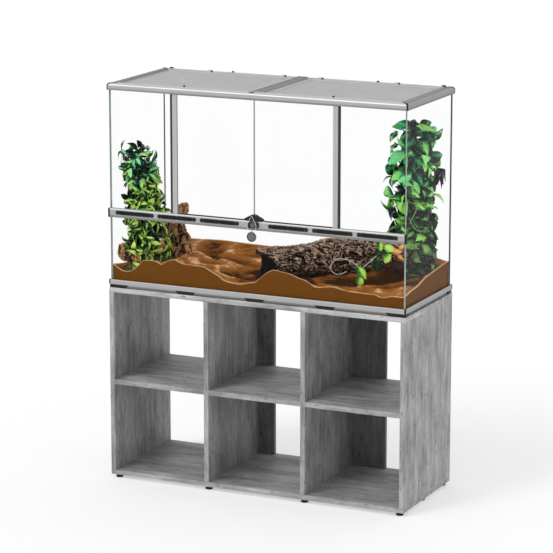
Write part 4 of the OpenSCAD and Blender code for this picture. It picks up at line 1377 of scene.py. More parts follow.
@dataclass
class Spray:
    """Where the leaves of one plant go: whorls on twigs that leave a leaning line."""

    foot: Vector
    top: Vector
    # its reach at equal steps of its height
    wide: tuple[float, ...]
    twigs: int
    # each whorl: its leaves, the span of their lengths, their tilt in degrees, its share of a turn
    leaves: int
    size: tuple[float, float]
    open: tuple[float, float]
    around: float
    seed: int
    # how far the line bows, and how much outline, facing and tips vary
    bend: float = 0.0
    uneven: float = 0.9
    tumble: float = 0.8
    hang: float = 0.45
    golden: float = 2.39996

    def line(self, t: float) -> Vector:
        """Returns the plant's middle at a share t of its height."""
        bow = self.bend * math.sin(math.pi * t ** 1.5)
        return self.foot.lerp(self.top, t) + Vector((bow, 0, 0))

    def chance(self, i: int, k: int) -> float:
        """Returns a fixed number from 0 to 1 for leaf i and purpose k."""
        return math.modf(abs(math.sin(i * 12.9898 + k * 78.233 + self.seed) * 43758.5453))[0]

    def width(self, t: float) -> float:
        """Tells how far the plant reaches from its line.

        Args:
            t: a share of its height.

        Returns:
            The reach there.
        """
        at = min(0.9999, max(0.0, t)) * (len(self.wide) - 1)
        i = int(at)
        return self.wide[i] + (self.wide[i + 1] - self.wide[i]) * (at - i)

    def places(self) -> list[tuple[Matrix, float]]:
        """Returns the matrix and the tone of every leaf."""
        count = self.twigs * self.leaves
        return [self.place(*divmod(i, self.leaves)) for i in range(count)]

    def place(self, twig: int, leaf: int) -> tuple[Matrix, float]:
        """Places one leaf.

        Args:
            twig: the number of its twig, from the foot up.
            leaf: its number in the twig's whorl.

        Returns:
            The leaf's matrix and tone.
        """
        t = (twig + 0.5) / self.twigs
        turn = twig * self.golden + 0.8 * self.chance(twig, 1)
        lift = 0.35 * (self.chance(twig, 2) - 0.35) + max(0.0, t - 0.9) * 6
        out = Vector((math.cos(turn), math.sin(turn), lift)).normalized()
        depth = self.chance(twig, 3) ** 0.55
        round_it = Vector((2.2 * math.cos(turn), 2.2 * math.sin(turn), 9 * t))
        lobes = 1 + self.uneven * noise.noise(round_it)
        base = self.line(t) + out * self.width(t) * lobes * (0.25 + 0.75 * depth)
        side = out.cross(Vector((0, 0, 1))).normalized()
        i = twig * self.leaves + leaf
        phi = 2 * math.pi * self.around * ((leaf + 0.8 * self.chance(i, 4)) / self.leaves - 0.45)
        away = out.cross(side) * math.cos(phi) + side * math.sin(phi)
        slope = math.radians(self.open[0] + (self.open[1] - self.open[0]) * self.chance(i, 5))
        tip = out * math.cos(slope) + away * math.sin(slope) - Vector((0, 0, self.hang))
        tip.normalize()
        size = self.size[0] + (self.size[1] - self.size[0]) * self.chance(i, 6)
        base += tip * 0.10 * size
        # painted shade: leaves nearer the plant's middle get darker tones, on top of a random share
        tone = 0.40 * depth * depth + 0.60 * self.chance(i, 7)
        face = out + self.tumble * Vector([self.chance(i, k) - 0.5 for k in (8, 9, 10)]) * 2
        return leaf_matrix(base, tip, face, size), tone


@dataclass
class Plant:
    """An artificial plant: whorls of leaves round a twiggy heart, dark with the painted shade
    inside the foliage.
    """

    name: str
    node: str
    slot: str
    spray: Spray
    maker: LeafMaker
    finish: Leaf
    # the heart's share of the plant's reach, and the room between the panes
    core: float = 0.45
    limits: tuple[Point, Point] = ((-0.575, -0.203, 0.0), (0.575, 0.217, 1.45))

    def build(self) -> None:
        """Builds leaves and heart in place of the plant's node."""
        bunch = self.maker.grow(self.name, self.spray.places())
        bench.reshape(bunch, lambda p: clamped(p, *self.limits))
        bench.smooth(bunch, GROWN)
        hand_in(bunch, ROOT, self.slot, self.finish, self.node)
        hand_in(self.heart(), ROOT, self.slot, Stem(self.name), self.node)

    def heart(self) -> bpy.types.Object:
        """Makes the dark heart: a rough column of twigs on the plant's line, standing for the shade
        inside the foliage.

        Returns:
            The column.
        """
        s = self.spray
        column = bench.grid(f"{self.name}_heart", 70, 32)

        def move(p: Vector) -> Vector:
            """Wraps the grid round the plant's line.

            Args:
                p: a point of the grid.

            Returns:
                Its place on the column.
            """
            turn = 2 * math.pi * p.y
            out = Vector((math.cos(turn), math.sin(turn), 0))
            reach = s.width(p.x) * self.core * min(1, 0.15 + 9 * (1 - p.x))
            around = Vector((p.x * 19, math.cos(turn) * 1.6, math.sin(turn) * 1.6))
            return s.line(p.x * 0.93) + out * reach * (1 + 0.5 * noise.noise(around))

        bench.reshape(column, move)
        bench.tidy(column, 1e-5, fill=True)
        return bench.smooth(column, 30)


@dataclass
class Vine:
    """The thin vine that loops from the right plant over the log's foot, with its last leaves."""

    thick: float = 1.6 * MM
    facing: Point = (0.25, -1, 0.25)
    pale: Stem = Stem("vine", (0.42, 0.47, 0.36), (0.82, 0.85, 0.74))
    green: Stem = Stem("runner", (0.10, 0.24, 0.07), (0.34, 0.52, 0.16))
    path: tuple[Point, ...] = (
        (0.462, -0.030, 0.925), (0.440, -0.085, 0.930), (0.412, -0.114, 0.900),
        (0.385, -0.120, 0.872), (0.366, -0.119, 0.872), (0.350, -0.118, 0.887),
        (0.322, -0.118, 0.897), (0.296, -0.118, 0.899), (0.272, -0.118, 0.890),
        (0.258, -0.118, 0.872), (0.258, -0.118, 0.854), (0.272, -0.118, 0.841),
        (0.296, -0.118, 0.838), (0.320, -0.118, 0.853))
    runners: tuple[tuple[Point, ...], ...] = (
        ((0.470, 0.030, 0.975), (0.490, 0.008, 0.962), (0.510, 0.006, 0.947), (0.530, 0.010, 0.935),
         (0.545, 0.014, 0.930)),
        ((0.500, 0.030, 1.015), (0.514, 0.008, 1.030), (0.528, 0.004, 1.052), (0.536, 0.010, 1.076),
         (0.530, 0.030, 1.094)),
        ((0.500, 0.030, 1.035), (0.518, 0.008, 1.018), (0.534, 0.006, 1.000), (0.552, 0.012, 0.994),
         (0.568, 0.020, 1.000)))
    # each leaf: its base, the way to its tip, its length and its tone
    leaves: tuple[tuple[Point, Point, float, float], ...] = (
        ((0.368, -0.124, 0.874), (0.62, -0.1, -0.78), 0.050, 0.58),
        ((0.376, -0.122, 0.842), (0.0, -0.1, -1.0), 0.042, 0.72),
        ((0.461, -0.100, 0.950), (1.0, -0.1, -0.15), 0.042, 0.86),
        ((0.443, -0.102, 0.972), (0.05, -0.1, -1.0), 0.038, 0.60),
        ((0.480, -0.100, 0.928), (-0.5, -0.1, -0.87), 0.042, 0.74),
        ((0.458, -0.094, 0.938), (-0.9, -0.1, -0.35), 0.046, 0.20),
        ((0.430, -0.094, 0.905), (-0.1, -0.1, -1.0), 0.050, 0.12),
        ((0.440, -0.092, 0.925), (-0.5, -0.1, -0.8), 0.044, 0.30))
    dry: tuple[tuple[Point, Point, float, float], ...] = (
        ((0.488, -0.098, 0.935), (1.0, -0.1, 0.15), 0.036, 0.75),
        ((0.500, -0.096, 0.925), (0.9, -0.1, -0.4), 0.034, 0.60),
        ((0.515, -0.090, 0.945), (0.5, -0.1, 0.8), 0.026, 0.85),
        ((0.490, -0.085, 0.905), (0.3, -0.1, -0.9), 0.040, 0.12),
        ((0.515, -0.085, 0.900), (0.1, -0.1, -1.0), 0.044, 0.06),
        ((0.470, -0.085, 0.900), (-0.2, -0.1, -0.9), 0.044, 0.08))

    def build(self) -> None:
        """Builds the vine, its leaves and the few dry leaves beside it."""
        vine = tube("vine_loop", self.path, self.thick, False)
        hand_in(vine, ROOT, "foliage_right", self.pale, "plant_right")
        stems = [tube("runner", path, self.thick, False) for path in self.runners]
        hand_in(bench.join("runners", stems), ROOT, "foliage_right", self.green, "plant_right")
        maker = LeafMaker(LeafShape.HEART)
        out = Vector(self.facing)
        for name, leaves, finish in (("vine_leaves", self.leaves, VINE_GREEN),
                                     ("dry_leaves", self.dry, DRY)):
            places = [(leaf_matrix(Vector(base), Vector(tip), out, size), tone)
                      for base, tip, size, tone in leaves]
            bunch = bench.smooth(maker.grow(name, places), GROWN)
            hand_in(bunch, ROOT, "foliage_right", finish, "plant_right")


def tube(name: str, path: Sequence[Point], radius: float, closed: bool) -> bpy.types.Object:
    """Makes a round wire or stem along a path.

    Args:
        name: the object's name.
        path: the points that it passes.
        radius: its radius.
        closed: True if its end joins its start.

    Returns:
        The tube as a mesh.
    """
    curve = bpy.data.curves.new(name, "CURVE")
    curve.dimensions = "3D"
    curve.bevel_depth = radius
    curve.bevel_resolution = 2
    curve.use_fill_caps = not closed
    spline = curve.splines.new("POLY" if closed else "NURBS")
    spline.points.add(len(path) - 1)
    for point, place in zip(spline.points, path):
        point.co = (*place, 1.0)
    spline.use_cyclic_u = closed
    if not closed:
        spline.use_endpoint_u = True
        spline.order_u = 3
        spline.resolution_u = 6
    obj = bpy.data.objects.new(name, curve)
    bpy.context.scene.collection.objects.link(obj)
    bench.take(obj)
    bpy.ops.object.convert(target="MESH")
    return bench.smooth(bpy.context.object, GROWN)


@dataclass
class Grilles:
    """The bar's six slotted grilles, and the black insect gauze behind them."""

    # the gauze: its thickness, and how far it lies behind the grilles, beside the lock and inside
    thick: float = 0.4 * MM
    behind: float = 3.2 * MM
    side: float = 15 * MM
    trim: float = 3 * MM
    # the grilles' middles, their lobes' distance from these, and the lobes' old and new radius
    middles: tuple[float, float, float] = (136 * MM, 308 * MM, 480 * MM)
    lobe: float = 70.5 * MM
    round: float = 6.5 * MM
    broad: float = 7.9 * MM
    # a trim strip beside the slots: its run from the grille's middle, its height and its depth
    run: tuple[float, float] = (1.6 * MM, 60 * MM)
    strip: tuple[float, float] = (4.2 * MM, 7.6 * MM)
    proud: tuple[float, float] = (-0.4 * MM, 0.6 * MM)

    def build(self) -> None:
        """Lays one strip of gauze behind the grilles on each side of the lock."""
        low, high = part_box("vent_grilles")
        trim, y = self.trim, low.y + self.behind
        for name, start, stop in (("left", low.x, -self.side), ("right", self.side, high.x)):
            strip = bench.cube(f"gauze_{name}", (start + trim, y, low.z + trim),
                               (stop - trim, y + self.thick, high.z - trim))
            bench.arris(strip, self.thick / 4, 1)
            finish = MouldedPlastic("gauze", (0.012, 0.012, 0.012), 0.7)
            hand_in(strip, ROOT, "grille_plastic", finish)
        self.grilles(low, high)

    def grilles(self, low: Vector, high: Vector) -> None:
        """Makes the grilles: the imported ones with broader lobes, and trim beside their slots.

        Args:
            low: the grilles' lower corner.
            high: their upper corner.
        """
        rims = bare_copy("vent_grilles", "rims")
        z = (low.z + high.z) / 2
        sides = (-1, 1)
        lobes = [sign * (x + side * self.lobe)
                 for sign in sides for x in self.middles for side in sides]

        def widen(p: Vector) -> Point:
            """Moves a point on a lobe's outline away from the lobe's middle.

            Args:
                p: a point on the grilles.

            Returns:
                Its new place.
            """
            x = min(lobes, key=lambda lobe: abs(lobe - p.x))
            reach = math.hypot(p.x - x, p.z - z)
            share = self.broad / self.round if abs(reach - self.round) < 0.2 * MM else 1.0
            return x + (p.x - x) * share, p.y, z + (p.z - z) * share

        bench.reshape(rims, widen)
        ends = [(self.run[i], low.y + self.proud[i], z + self.strip[i]) for i in (0, 1)]
        strip = bench.bevel(bench.cube("strip", *ends), 0.3 * MM, 1)
        length, height = sum(self.run), sum(self.strip)
        strips = []
        for sign, x, left, under in product(sides, self.middles, (0, 1), (0, 1)):
            shift = Vector((sign * x - left * length, 0, -under * height))
            strips.append(bench.copy(strip, Matrix.Translation(shift)))
        bench.drop(strip)
        grilles = bench.smooth(bench.join("slotted_grilles", [rims, *strips]))
        hand_in(grilles, ROOT, "grille_plastic", MouldedPlastic("grille"), "vent_grilles")


@dataclass
class LidMesh:
    """The lid's two framed mesh panels, with the knuckles that they hinge on."""

    # the frame: its underside, top and back, and its width
    under: float = 1.479
    top: float = 1.487
    back: float = 0.1994
    edge: float = 12 * MM
    pitch: float = 2.2 * MM
    strand: float = 1.0 * MM
    pin_y: float = 204 * MM
    pin_z: float = 1492 * MM
    bridge_z: float = 1.4897
    knuckle: float = 2.7 * MM
    bore: float = 1.55 * MM
    hinges: tuple[float, float] = (75 * MM, 378 * MM)
    knuckle_width: float = 8 * MM
    edging_width: float = 2.6 * MM
    # the edging's dark colour is painted shade for the gaps beside the rails
    edge_finish: MouldedPlastic = MouldedPlastic("edging", (0.07, 0.07, 0.07), 0.5)
    frame_finish: DrawnMetal = DrawnMetal(Axis.X, (0.53, 0.53, 0.525), 0.5, 0.55)
    # a darker copy of the frame's metal for the outer bar: painted shade
    side_finish: DrawnMetal = DrawnMetal(Axis.Y, (0.27, 0.27, 0.268), 0.5, 0.55)
    net_finish: DrawnMetal = DrawnMetal(Axis.X, (0.60, 0.60, 0.595), 0.5, 0.55)

    def build(self) -> None:
        """Builds both panels in place of their nodes."""
        for side, sign in (("left", -1), ("right", 1)):
            node = f"mesh_panel_{side}"
            low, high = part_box(node)
            low = Vector((low.x, low.y, self.under))
            high = Vector((high.x, self.back, self.top))
            parts = [self.frame(low, high, sign)]
            for x in self.hinges:
                parts += [coat(part, self.frame_finish) for part in self.hinge(sign * x, high)]
            parts += [coat(part, self.edge_finish) for part in self.edging(low, high)]
            parts += [coat(part, self.net_finish) for part in self.net(low, high)]
            panel = bench.smooth(bench.join(f"{node}_framed", parts))
            hand_in(panel, body_of(node), "mesh_metal", self.net_finish, node)

    def frame(self, low: Vector, high: Vector, sign: int) -> bpy.types.Object:
        """Makes the frame: a plate, opened by insetting both faces and bridging them.

        Args:
            low: the frame's lower corner.
            high: the frame's upper corner.
            sign: the side that it lies on, where its outer bar is painted darker: painted shade.

        Returns:
            The frame.
        """
        rim = bench.cube("rim", low, high)
        with bench.editing(rim) as mesh:
            bench.pick(mesh, rim, lambda face: abs(face.normal.z) > 0.9)
            bpy.ops.mesh.inset(thickness=self.edge)
            bpy.ops.mesh.bridge_edge_loops()
        bench.tidy(bench.bevel(rim, 0.7 * MM))
        coat(rim, self.frame_finish, self.side_finish)
        outer = high.x if sign > 0 else low.x
        for face in rim.data.polygons:
            face.material_index = int(abs(face.center.x - outer) < self.edge)
        return rim

    def edging(self, low: Vector, high: Vector) -> list[bpy.types.Object]:
        """Makes the dark edging along the frame's front and both sides: strips that stand for the
        shade in the gaps beside the rails.

        Args:
            low: the frame's lower corner.
            high: the frame's upper corner.

        Returns:
            The three strips.
        """
        inner, foot, head = self.edging_width, high.z - 2 * MM, high.z + 0.25 * MM
        spans = (((low.x, low.y), (high.x, low.y + inner)),
                 ((low.x, low.y), (low.x + inner, high.y)),
                 ((high.x - inner, low.y), (high.x, high.y)))
        return [bench.bevel(bench.cube("edging", (*start, foot), (*stop, head)), 0.2 * MM, 1)
                for start, stop in spans]

    def net(self, low: Vector, high: Vector) -> list[bpy.types.Object]:
        """Makes the net: one strand each way, repeated across the frame.

        Args:
            low: the frame's lower corner.
            high: the frame's upper corner.

        Returns:
            Both layers of strands.
        """
        z = (low.z + high.z) / 2 + 0.5 * MM
        inner_low, inner_high = low + Vector([self.edge] * 3), high - Vector([self.edge] * 3)
        half, reach = self.strand / 2, 1 * MM
        strands = []
        for along in (0, 1):
            across = 1 - along
            start, stop = [0.0] * 3, [0.0] * 3
            start[along], stop[along] = inner_low[along] - reach, inner_high[along] + reach
            first = inner_low[across] + self.pitch / 2
            start[across], stop[across] = first - half, first + half
            start[2], stop[2] = (z, z + half) if along else (z - half, z)
            strand = bench.cube(f"strand_{along}", start, stop)
            count = int((inner_high[across] - inner_low[across]) / self.pitch)
            step = [0.0] * 3
            step[across] = (inner_high[across] - inner_low[across]) / count
            strands.append(bench.modify(strand, "ARRAY", count=count, use_relative_offset=False,
                                        use_constant_offset=True, constant_offset_displace=step))
        return strands

    def hinge(self, x: float, high: Vector) -> list[bpy.types.Object]:
        """Makes one knuckle: a bored barrel on a tongue that stands on the frame.

        Args:
            x: its middle's X.
            high: the frame's upper corner.

        Returns:
            Its barrel, its tongue and the bridge between them.
        """
        half = self.knuckle_width / 2
        barrel = bench.cylinder("barrel", self.knuckle, self.knuckle_width,
                                (x, self.pin_y, self.pin_z), Axis.X, 24, open_ended=True)
        bench.modify(barrel, "SOLIDIFY", thickness=self.knuckle - self.bore, offset=-1)
        tongue = bench.cube("tongue", (x - half, high.y - 9 * MM, high.z - 0.5 * MM),
                            (x + half, high.y, self.pin_z + 1.4 * MM))
        with bench.editing(tongue, "VERT") as mesh:
            front = high.y - 5 * MM
            bench.pick(mesh, tongue, lambda v: v.co.y < front and v.co.z > high.z + MM, "verts")
            bpy.ops.transform.translate(value=(0, 3 * MM, -3 * MM))
        bridge = bench.cube("bridge", (x - half, high.y - 0.5 * MM, self.bridge_z),
                            (x + half, self.pin_y - self.bore - 0.6 * MM, self.pin_z + 1.2 * MM))
        return [barrel, tongue, bridge]


@dataclass
class LidTrim:
    """Small black stops on the lid's back rail, and the brackets at the crossbar's ends."""

    deck: float = 1489 * MM
    rise: float = 4.2 * MM
    # the stops' front and back, and the line that their tops are drawn in to
    front: float = 218.5 * MM
    back: float = 227.5 * MM
    ridge: float = 222.5 * MM
    # each stop: its middle's X and its width
    stops: tuple[tuple[float, float], ...] = ((-0.550, 16 * MM), (-0.293, 9 * MM), (0.293, 9 * MM),
                                              (0.550, 16 * MM))
    # each bracket: its X span and its Y span
    brackets: tuple[tuple[float, float, float, float], ...] = (
        (-0.022, -0.003, -0.210, -0.203), (-0.026, 0.016, 0.209, 0.217))

    def build(self) -> None:
        """Builds the stops and the brackets."""
        plastic = MouldedPlastic("stop", (0.010, 0.010, 0.011), 0.5)
        for name, parts in (("lid_stops", [self.stop(*place) for place in self.stops]),
                            ("crossbar_brackets", [self.bracket(*span) for span in self.brackets])):
            hand_in(bench.smooth(bench.join(name, parts)), ROOT, "clip_plastic", plastic)

    def stop(self, x: float, width: float) -> bpy.types.Object:
        """Makes one stop: a block whose top is drawn in like a low roof.

        Args:
            x: its middle's X.
            width: its width.

        Returns:
            The stop.
        """
        block = bench.cube("stop", (x - width / 2, self.front, self.deck),
                           (x + width / 2, self.back, self.deck + self.rise))
        with bench.editing(block) as mesh:
            bench.pick(mesh, block, lambda face: face.normal.z > 0.9)
            bpy.ops.transform.resize(value=(0.7, 0.55, 1), center_override=(x, self.ridge, 0))
        return bench.bevel(block, 0.5 * MM)

    def bracket(self, left: float, right: float, front: float, back: float) -> bpy.types.Object:
        """Makes one bracket: a thin plate with a raised lip along its outer edge.

        Args:
            left: its lower X.
            right: its upper X.
            front: its lower Y.
            back: its upper Y.

        Returns:
            The bracket.
        """
        plate = bench.cube("bracket", (left, front, self.deck), (right, back, self.deck + 1.2 * MM))
        middle = ((left + right) / 2, front if front < 0 else back, 0)
        with bench.editing(plate) as mesh:
            bench.pick(mesh, plate, lambda face: face.normal.z > 0.9)
            bpy.ops.mesh.inset(thickness=1.6 * MM)
            bpy.ops.mesh.extrude_region_move(TRANSFORM_OT_translate={"value": (0, 0, 1 * MM)})
            bpy.ops.transform.resize(value=(0.9, 0.5, 1), center_override=middle)
        return bench.bevel(plate, 0.3 * MM)


@dataclass
class Fittings:
    """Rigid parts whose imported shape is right: a softened copy of each, dressed."""

    # how far the bar's caps reach over its ends, and how much broader they get on each side
    cap_over: float = 4 * MM
    cap_grow: float = 0.3 * MM
    # how much thicker the corner plates get
    plate_grow: float = 2.5 * MM
    sharp: float = math.radians(40)
    board_edge: float = 0.5 * MM
    # each group of boards: its nodes, its grain and the share of the foil's colours, which paints
    # light and shade
    boards: tuple[tuple[tuple[str, ...], Axis, float], ...] = (
        (("side_panel_left", "side_panel_right"), Axis.Z, 1.0),
        (("bottom_panel",), Axis.X, 1.0),
        # painted highlight on the top panel
        (("top_panel",), Axis.X, 1.3),
        (("shelf_left", "shelf_middle", "shelf_right"), Axis.X, 1.0),
        # painted shade on the dividers and, darker, on the back boards inside the bays
        (("divider_left", "divider_right"), Axis.Z, 0.92),
        (("back_board_left", "back_board_right"), Axis.Z, 0.47))
    plastic: MouldedPlastic = MouldedPlastic("corner")

    def soften(self, node: str, width: float, finish: Finish, segments: int = 2,
               grow: float = 0.0) -> None:
        """Replaces a node by a copy of it with its sharp edges rounded.

        Args:
            node: the CAD node.
            width: how far the rounding reaches from an edge.
            finish: the copy's finish.
            segments: faces across each rounding.
            grow: how much thicker the upright plates in its mitres get.
        """
        part = bare_copy(node, f"{node}_eased")
        with bench.editing(part):
            bpy.ops.mesh.select_all(action="SELECT")
            bpy.ops.mesh.dissolve_limited(angle_limit=math.radians(1))
        if grow:
            self.thicken(part, node, grow)
        bench.bevel(part, width, segments, angle_limit=self.sharp, use_clamp_overlap=True)
        low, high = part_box(node)
        bench.reshape(part, lambda p: clamped(p, low, high))
        hand_in(bench.smooth(part), body_of(node), slot_of(node), finish, node)

    def thicken(self, part: bpy.types.Object, node: str, grow: float) -> None:
        """Thickens the upright plates in a frame's four mitres, inside the node's own box.

        Args:
            part: the plates' copy.
            node: the CAD node.
            grow: how far each face moves.
        """
        low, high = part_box(node)
        middle = (low.y + high.y) / 2

        def push(p: Vector) -> Point:
            """Moves a point away from the mitre's plane.

            Args:
                p: a point on a plate.

            Returns:
                Its new place.
            """
            off = (high.x - abs(p.x)) - ((high.y - low.y) / 2 - abs(p.y - middle))
            way = math.copysign(grow, off) / math.sqrt(2)
            right, back = math.copysign(1.0, p.x), math.copysign(1.0, p.y - middle)
            return clamped((p.x - right * way, p.y + back * way, p.z), low, high)

        bench.reshape(part, push)

    def bar_caps(self) -> None:
        """Makes the bar's end caps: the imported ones, drawn over the bar's ends."""
        node = "vent_bar_caps"
        caps = bare_copy(node, "bar_caps_eased")
        low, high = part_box(node)
        middle = (low + high) / 2

        def draw(p: Vector) -> Point:
            """Moves a cap's inner face inwards, and its sides outwards a little.

            Args:
                p: a point on the caps.

            Returns:
                Its new place.
            """
            inner = abs(p.x) < high.x - 1 * MM
            return (p.x - math.copysign(self.cap_over, p.x) * inner,
                    p.y + math.copysign(self.cap_grow, p.y - middle.y),
                    p.z + math.copysign(self.cap_grow, p.z - middle.z))

        bench.reshape(caps, draw)
        bench.bevel(caps, 0.3 * MM, angle_limit=self.sharp, use_clamp_overlap=True)
        hand_in(bench.smooth(caps), ROOT, slot_of(node), self.plastic, node)

    def build(self) -> None:
        """Builds the eased copies of boards, plates, caps, pads, pulls and lock."""
        for nodes, grain, share in self.boards:
            for node in nodes:
                self.soften(node, self.board_edge, ConcreteFoil(grain, share=share))
        for node in ("base_corner_plates", "lid_corner_plates"):
            self.soften(node, 0.35 * MM, self.plastic, grow=self.plate_grow)
        self.bar_caps()
        self.soften("tank_pads", 0.35 * MM, self.plastic)
        for node in ("door_pull_left", "door_pull_right"):
            self.soften(node, 1.0 * MM, MouldedPlastic("pull", (0.014, 0.014, 0.015), 0.4), 3)
        self.soften("lock_housing", 0.8 * MM, MouldedPlastic("lock", (0.02, 0.02, 0.021), 0.42))


@dataclass
class Key:
    """The wire loop over the peg, and the round fob that hangs from it."""

    peg: Vector = field(default_factory=lambda: Vector((-0.003, -0.228, 1.044)))
    top_bend: float = 2.6 * MM
    low_bend: float = 18 * MM
    drop: float = 52 * MM
    wire: float = 1.0 * MM
    fob: float = 18.5 * MM
    fob_thick: float = 3 * MM
    # the fob's steps from its edge inwards: each one's width and how far it sinks
    steps: tuple[tuple[float, float], ...] = ((2.2 * MM, 0.7 * MM), (3.5 * MM, -0.35 * MM))
    # its dark ground, and its paler rim and middle
    ground: DrawnMetal = DrawnMetal(Axis.Z, (0.070, 0.070, 0.0728), 0.38, 0.6)
    raised: DrawnMetal = DrawnMetal(Axis.Z, (0.15, 0.15, 0.156), 0.38, 0.6)

    def build(self) -> None:
        """Builds the loop and the fob in place of their nodes."""
        self.loop()
        self.disc()

    def path(self) -> list[Vector]:
        """Draws the loop: a small bend on the peg and a wide one below.

        Returns:
            Points round it.
        """
        low_z = -self.drop + self.low_bend
        tilt = math.asin((self.low_bend - self.top_bend) / -low_z)
        points = []
        for radius, z, start, stop in ((self.top_bend, 0.0, tilt, math.pi - tilt),
                                       (self.low_bend, low_z, math.pi - tilt, 2 * math.pi + tilt)):
            for i in range(25):
                a = start + (stop - start) * i / 24
                spot = Vector((radius * math.cos(a), 0, z + radius * math.sin(a)))
                points.append(self.peg + spot)
        return points

    def loop(self) -> None:
        """Makes the wire loop as a closed round wire."""
        wire = tube("wire_loop", self.path(), self.wire, True)
        finish = DrawnMetal(Axis.Z, (0.80, 0.80, 0.79), 0.3)
        hand_in(wire, "key_loop", "loop_wire", finish, "key_loop")

    def disc(self) -> None:
        """Makes the fob: a disc dished inside its rim, with a plain raised middle and an eye."""
        low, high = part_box("key_fob")
        middle = Vector(((low.x + high.x) / 2, self.peg.y, low.z + self.fob))
        disc = bench.cylinder("disc", self.fob, self.fob_thick, middle, Axis.Y, 64)
        for inset, sink in self.steps:
            for sign in (-1, 1):
                with bench.editing(disc) as mesh:
                    flat = [f for f in mesh.faces if f.normal.y * sign > 0.9 and len(f.verts) > 8]
                    bench.pick(mesh, disc, lambda f: f in flat)
                    bpy.ops.mesh.inset(thickness=inset)
                    bpy.ops.mesh.extrude_region_move(
                        TRANSFORM_OT_translate={"value": (0, -sign * sink, 0)})
        coat(bench.bevel(disc, 0.25 * MM), self.ground, self.raised)
        inner, outer = self.fob - 5.2 * MM, self.fob - 1.2 * MM
        for face in disc.data.polygons:
            face.material_index = int(not inner <= (face.center - middle).length <= outer)
        place = (middle.x, self.peg.y, self.peg.z - self.drop)
        eye = bench.cylinder("eye", 2.8 * MM, 5 * MM, place, Axis.X, 24, open_ended=True)
        bench.modify(eye, "SOLIDIFY", thickness=1.2 * MM, offset=-1)
        fob = bench.smooth(bench.join("round_fob", [disc, eye]))
        hand_in(fob, "key_fob", "fob_metal", self.ground, "key_fob")


@dataclass
class NodeFinishes:
    """Finishes for the CAD nodes that stay as they are."""

    # bands of painted shade and highlight from a section's lower to its upper edge: where, and the
    # share of its colour
    base_bands: tuple[tuple[float, float], ...] = (
        (0.0, 0.30), (0.12, 0.34), (0.25, 0.46), (0.30, 0.76), (0.86, 0.80), (0.93, 1.0),
        (1.0, 1.0))
    lid_bands: tuple[tuple[float, float], ...] = (
        (0.0, 0.48), (0.20, 0.56), (0.30, 0.86), (0.66, 0.84), (0.78, 1.0), (1.0, 1.0))
    bar_bands: tuple[tuple[float, float], ...] = (
        (0.0, 0.36), (0.24, 0.40), (0.30, 0.60), (0.84, 0.64), (0.91, 1.0), (1.0, 1.0))

    def build(self) -> None:
        """Paints every node that is kept."""
        silver, black = DrawnMetal(Axis.Z), MouldedPlastic("fitting")
        kept: dict[str, Finish] = {
            "furniture_glides": MouldedPlastic("glide"), "panel_dowels": PlainWood(),
            "panel_screws": DrawnMetal(Axis.Z, (0.55, 0.54, 0.5), 0.35),
            "silicone_seams": MouldedPlastic("silicone", (0.27, 0.33, 0.31), 0.3),
            "pane_edge_seals": MouldedPlastic("seal", (0.02, 0.028, 0.025), 0.4),
            "door_hinge_pins": DrawnMetal(Axis.Z, (0.5, 0.5, 0.5), 0.3),
            "lock_barrel": DrawnMetal(Axis.Y, (0.16, 0.16, 0.165), 0.3),
            "lock_bolt": DrawnMetal(Axis.X, (0.45, 0.45, 0.46), 0.3),
            "lid_crossbar": DrawnMetal(Axis.Y, (0.165, 0.165, 0.163), 0.45),
            "hinge_section_left": silver, "hinge_section_right": silver,
            "mesh_hinge_clips": black, "mesh_knob_left": black, "mesh_knob_right": black}
        # the side rails are darker copies of the same aluminium, the lid's darker again on top:
        # painted shade
        banded = (
            (("base_rail_front", "base_rail_back"), Axis.X, 0.52, self.base_bands, 1.0),
            (("base_rail_left", "base_rail_right"), Axis.Y, 0.43, self.base_bands, 1.0),
            (("lid_rail_front", "lid_rail_back"), Axis.X, 0.50, self.lid_bands, 1.0),
            (("lid_rail_left", "lid_rail_right"), Axis.Y, 0.34, self.lid_bands, 0.45),
            (("vent_bar",), Axis.X, 0.66, self.bar_bands, 1.0))
        for nodes, axis, shade, bands, upper in banded:
            for node in nodes:
                low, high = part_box(node)
                places = tuple((low.z + t * (high.z - low.z), share) for t, share in bands)
                colour = (shade, shade, shade * 0.99)
                kept[node] = DrawnMetal(axis, colour, upper=upper, bands=places)
        for node, finish in kept.items():
            frame["nodes"][node].data.materials.clear()
            coat(frame["nodes"][node], finish)
            log.info("%s: painted", node)


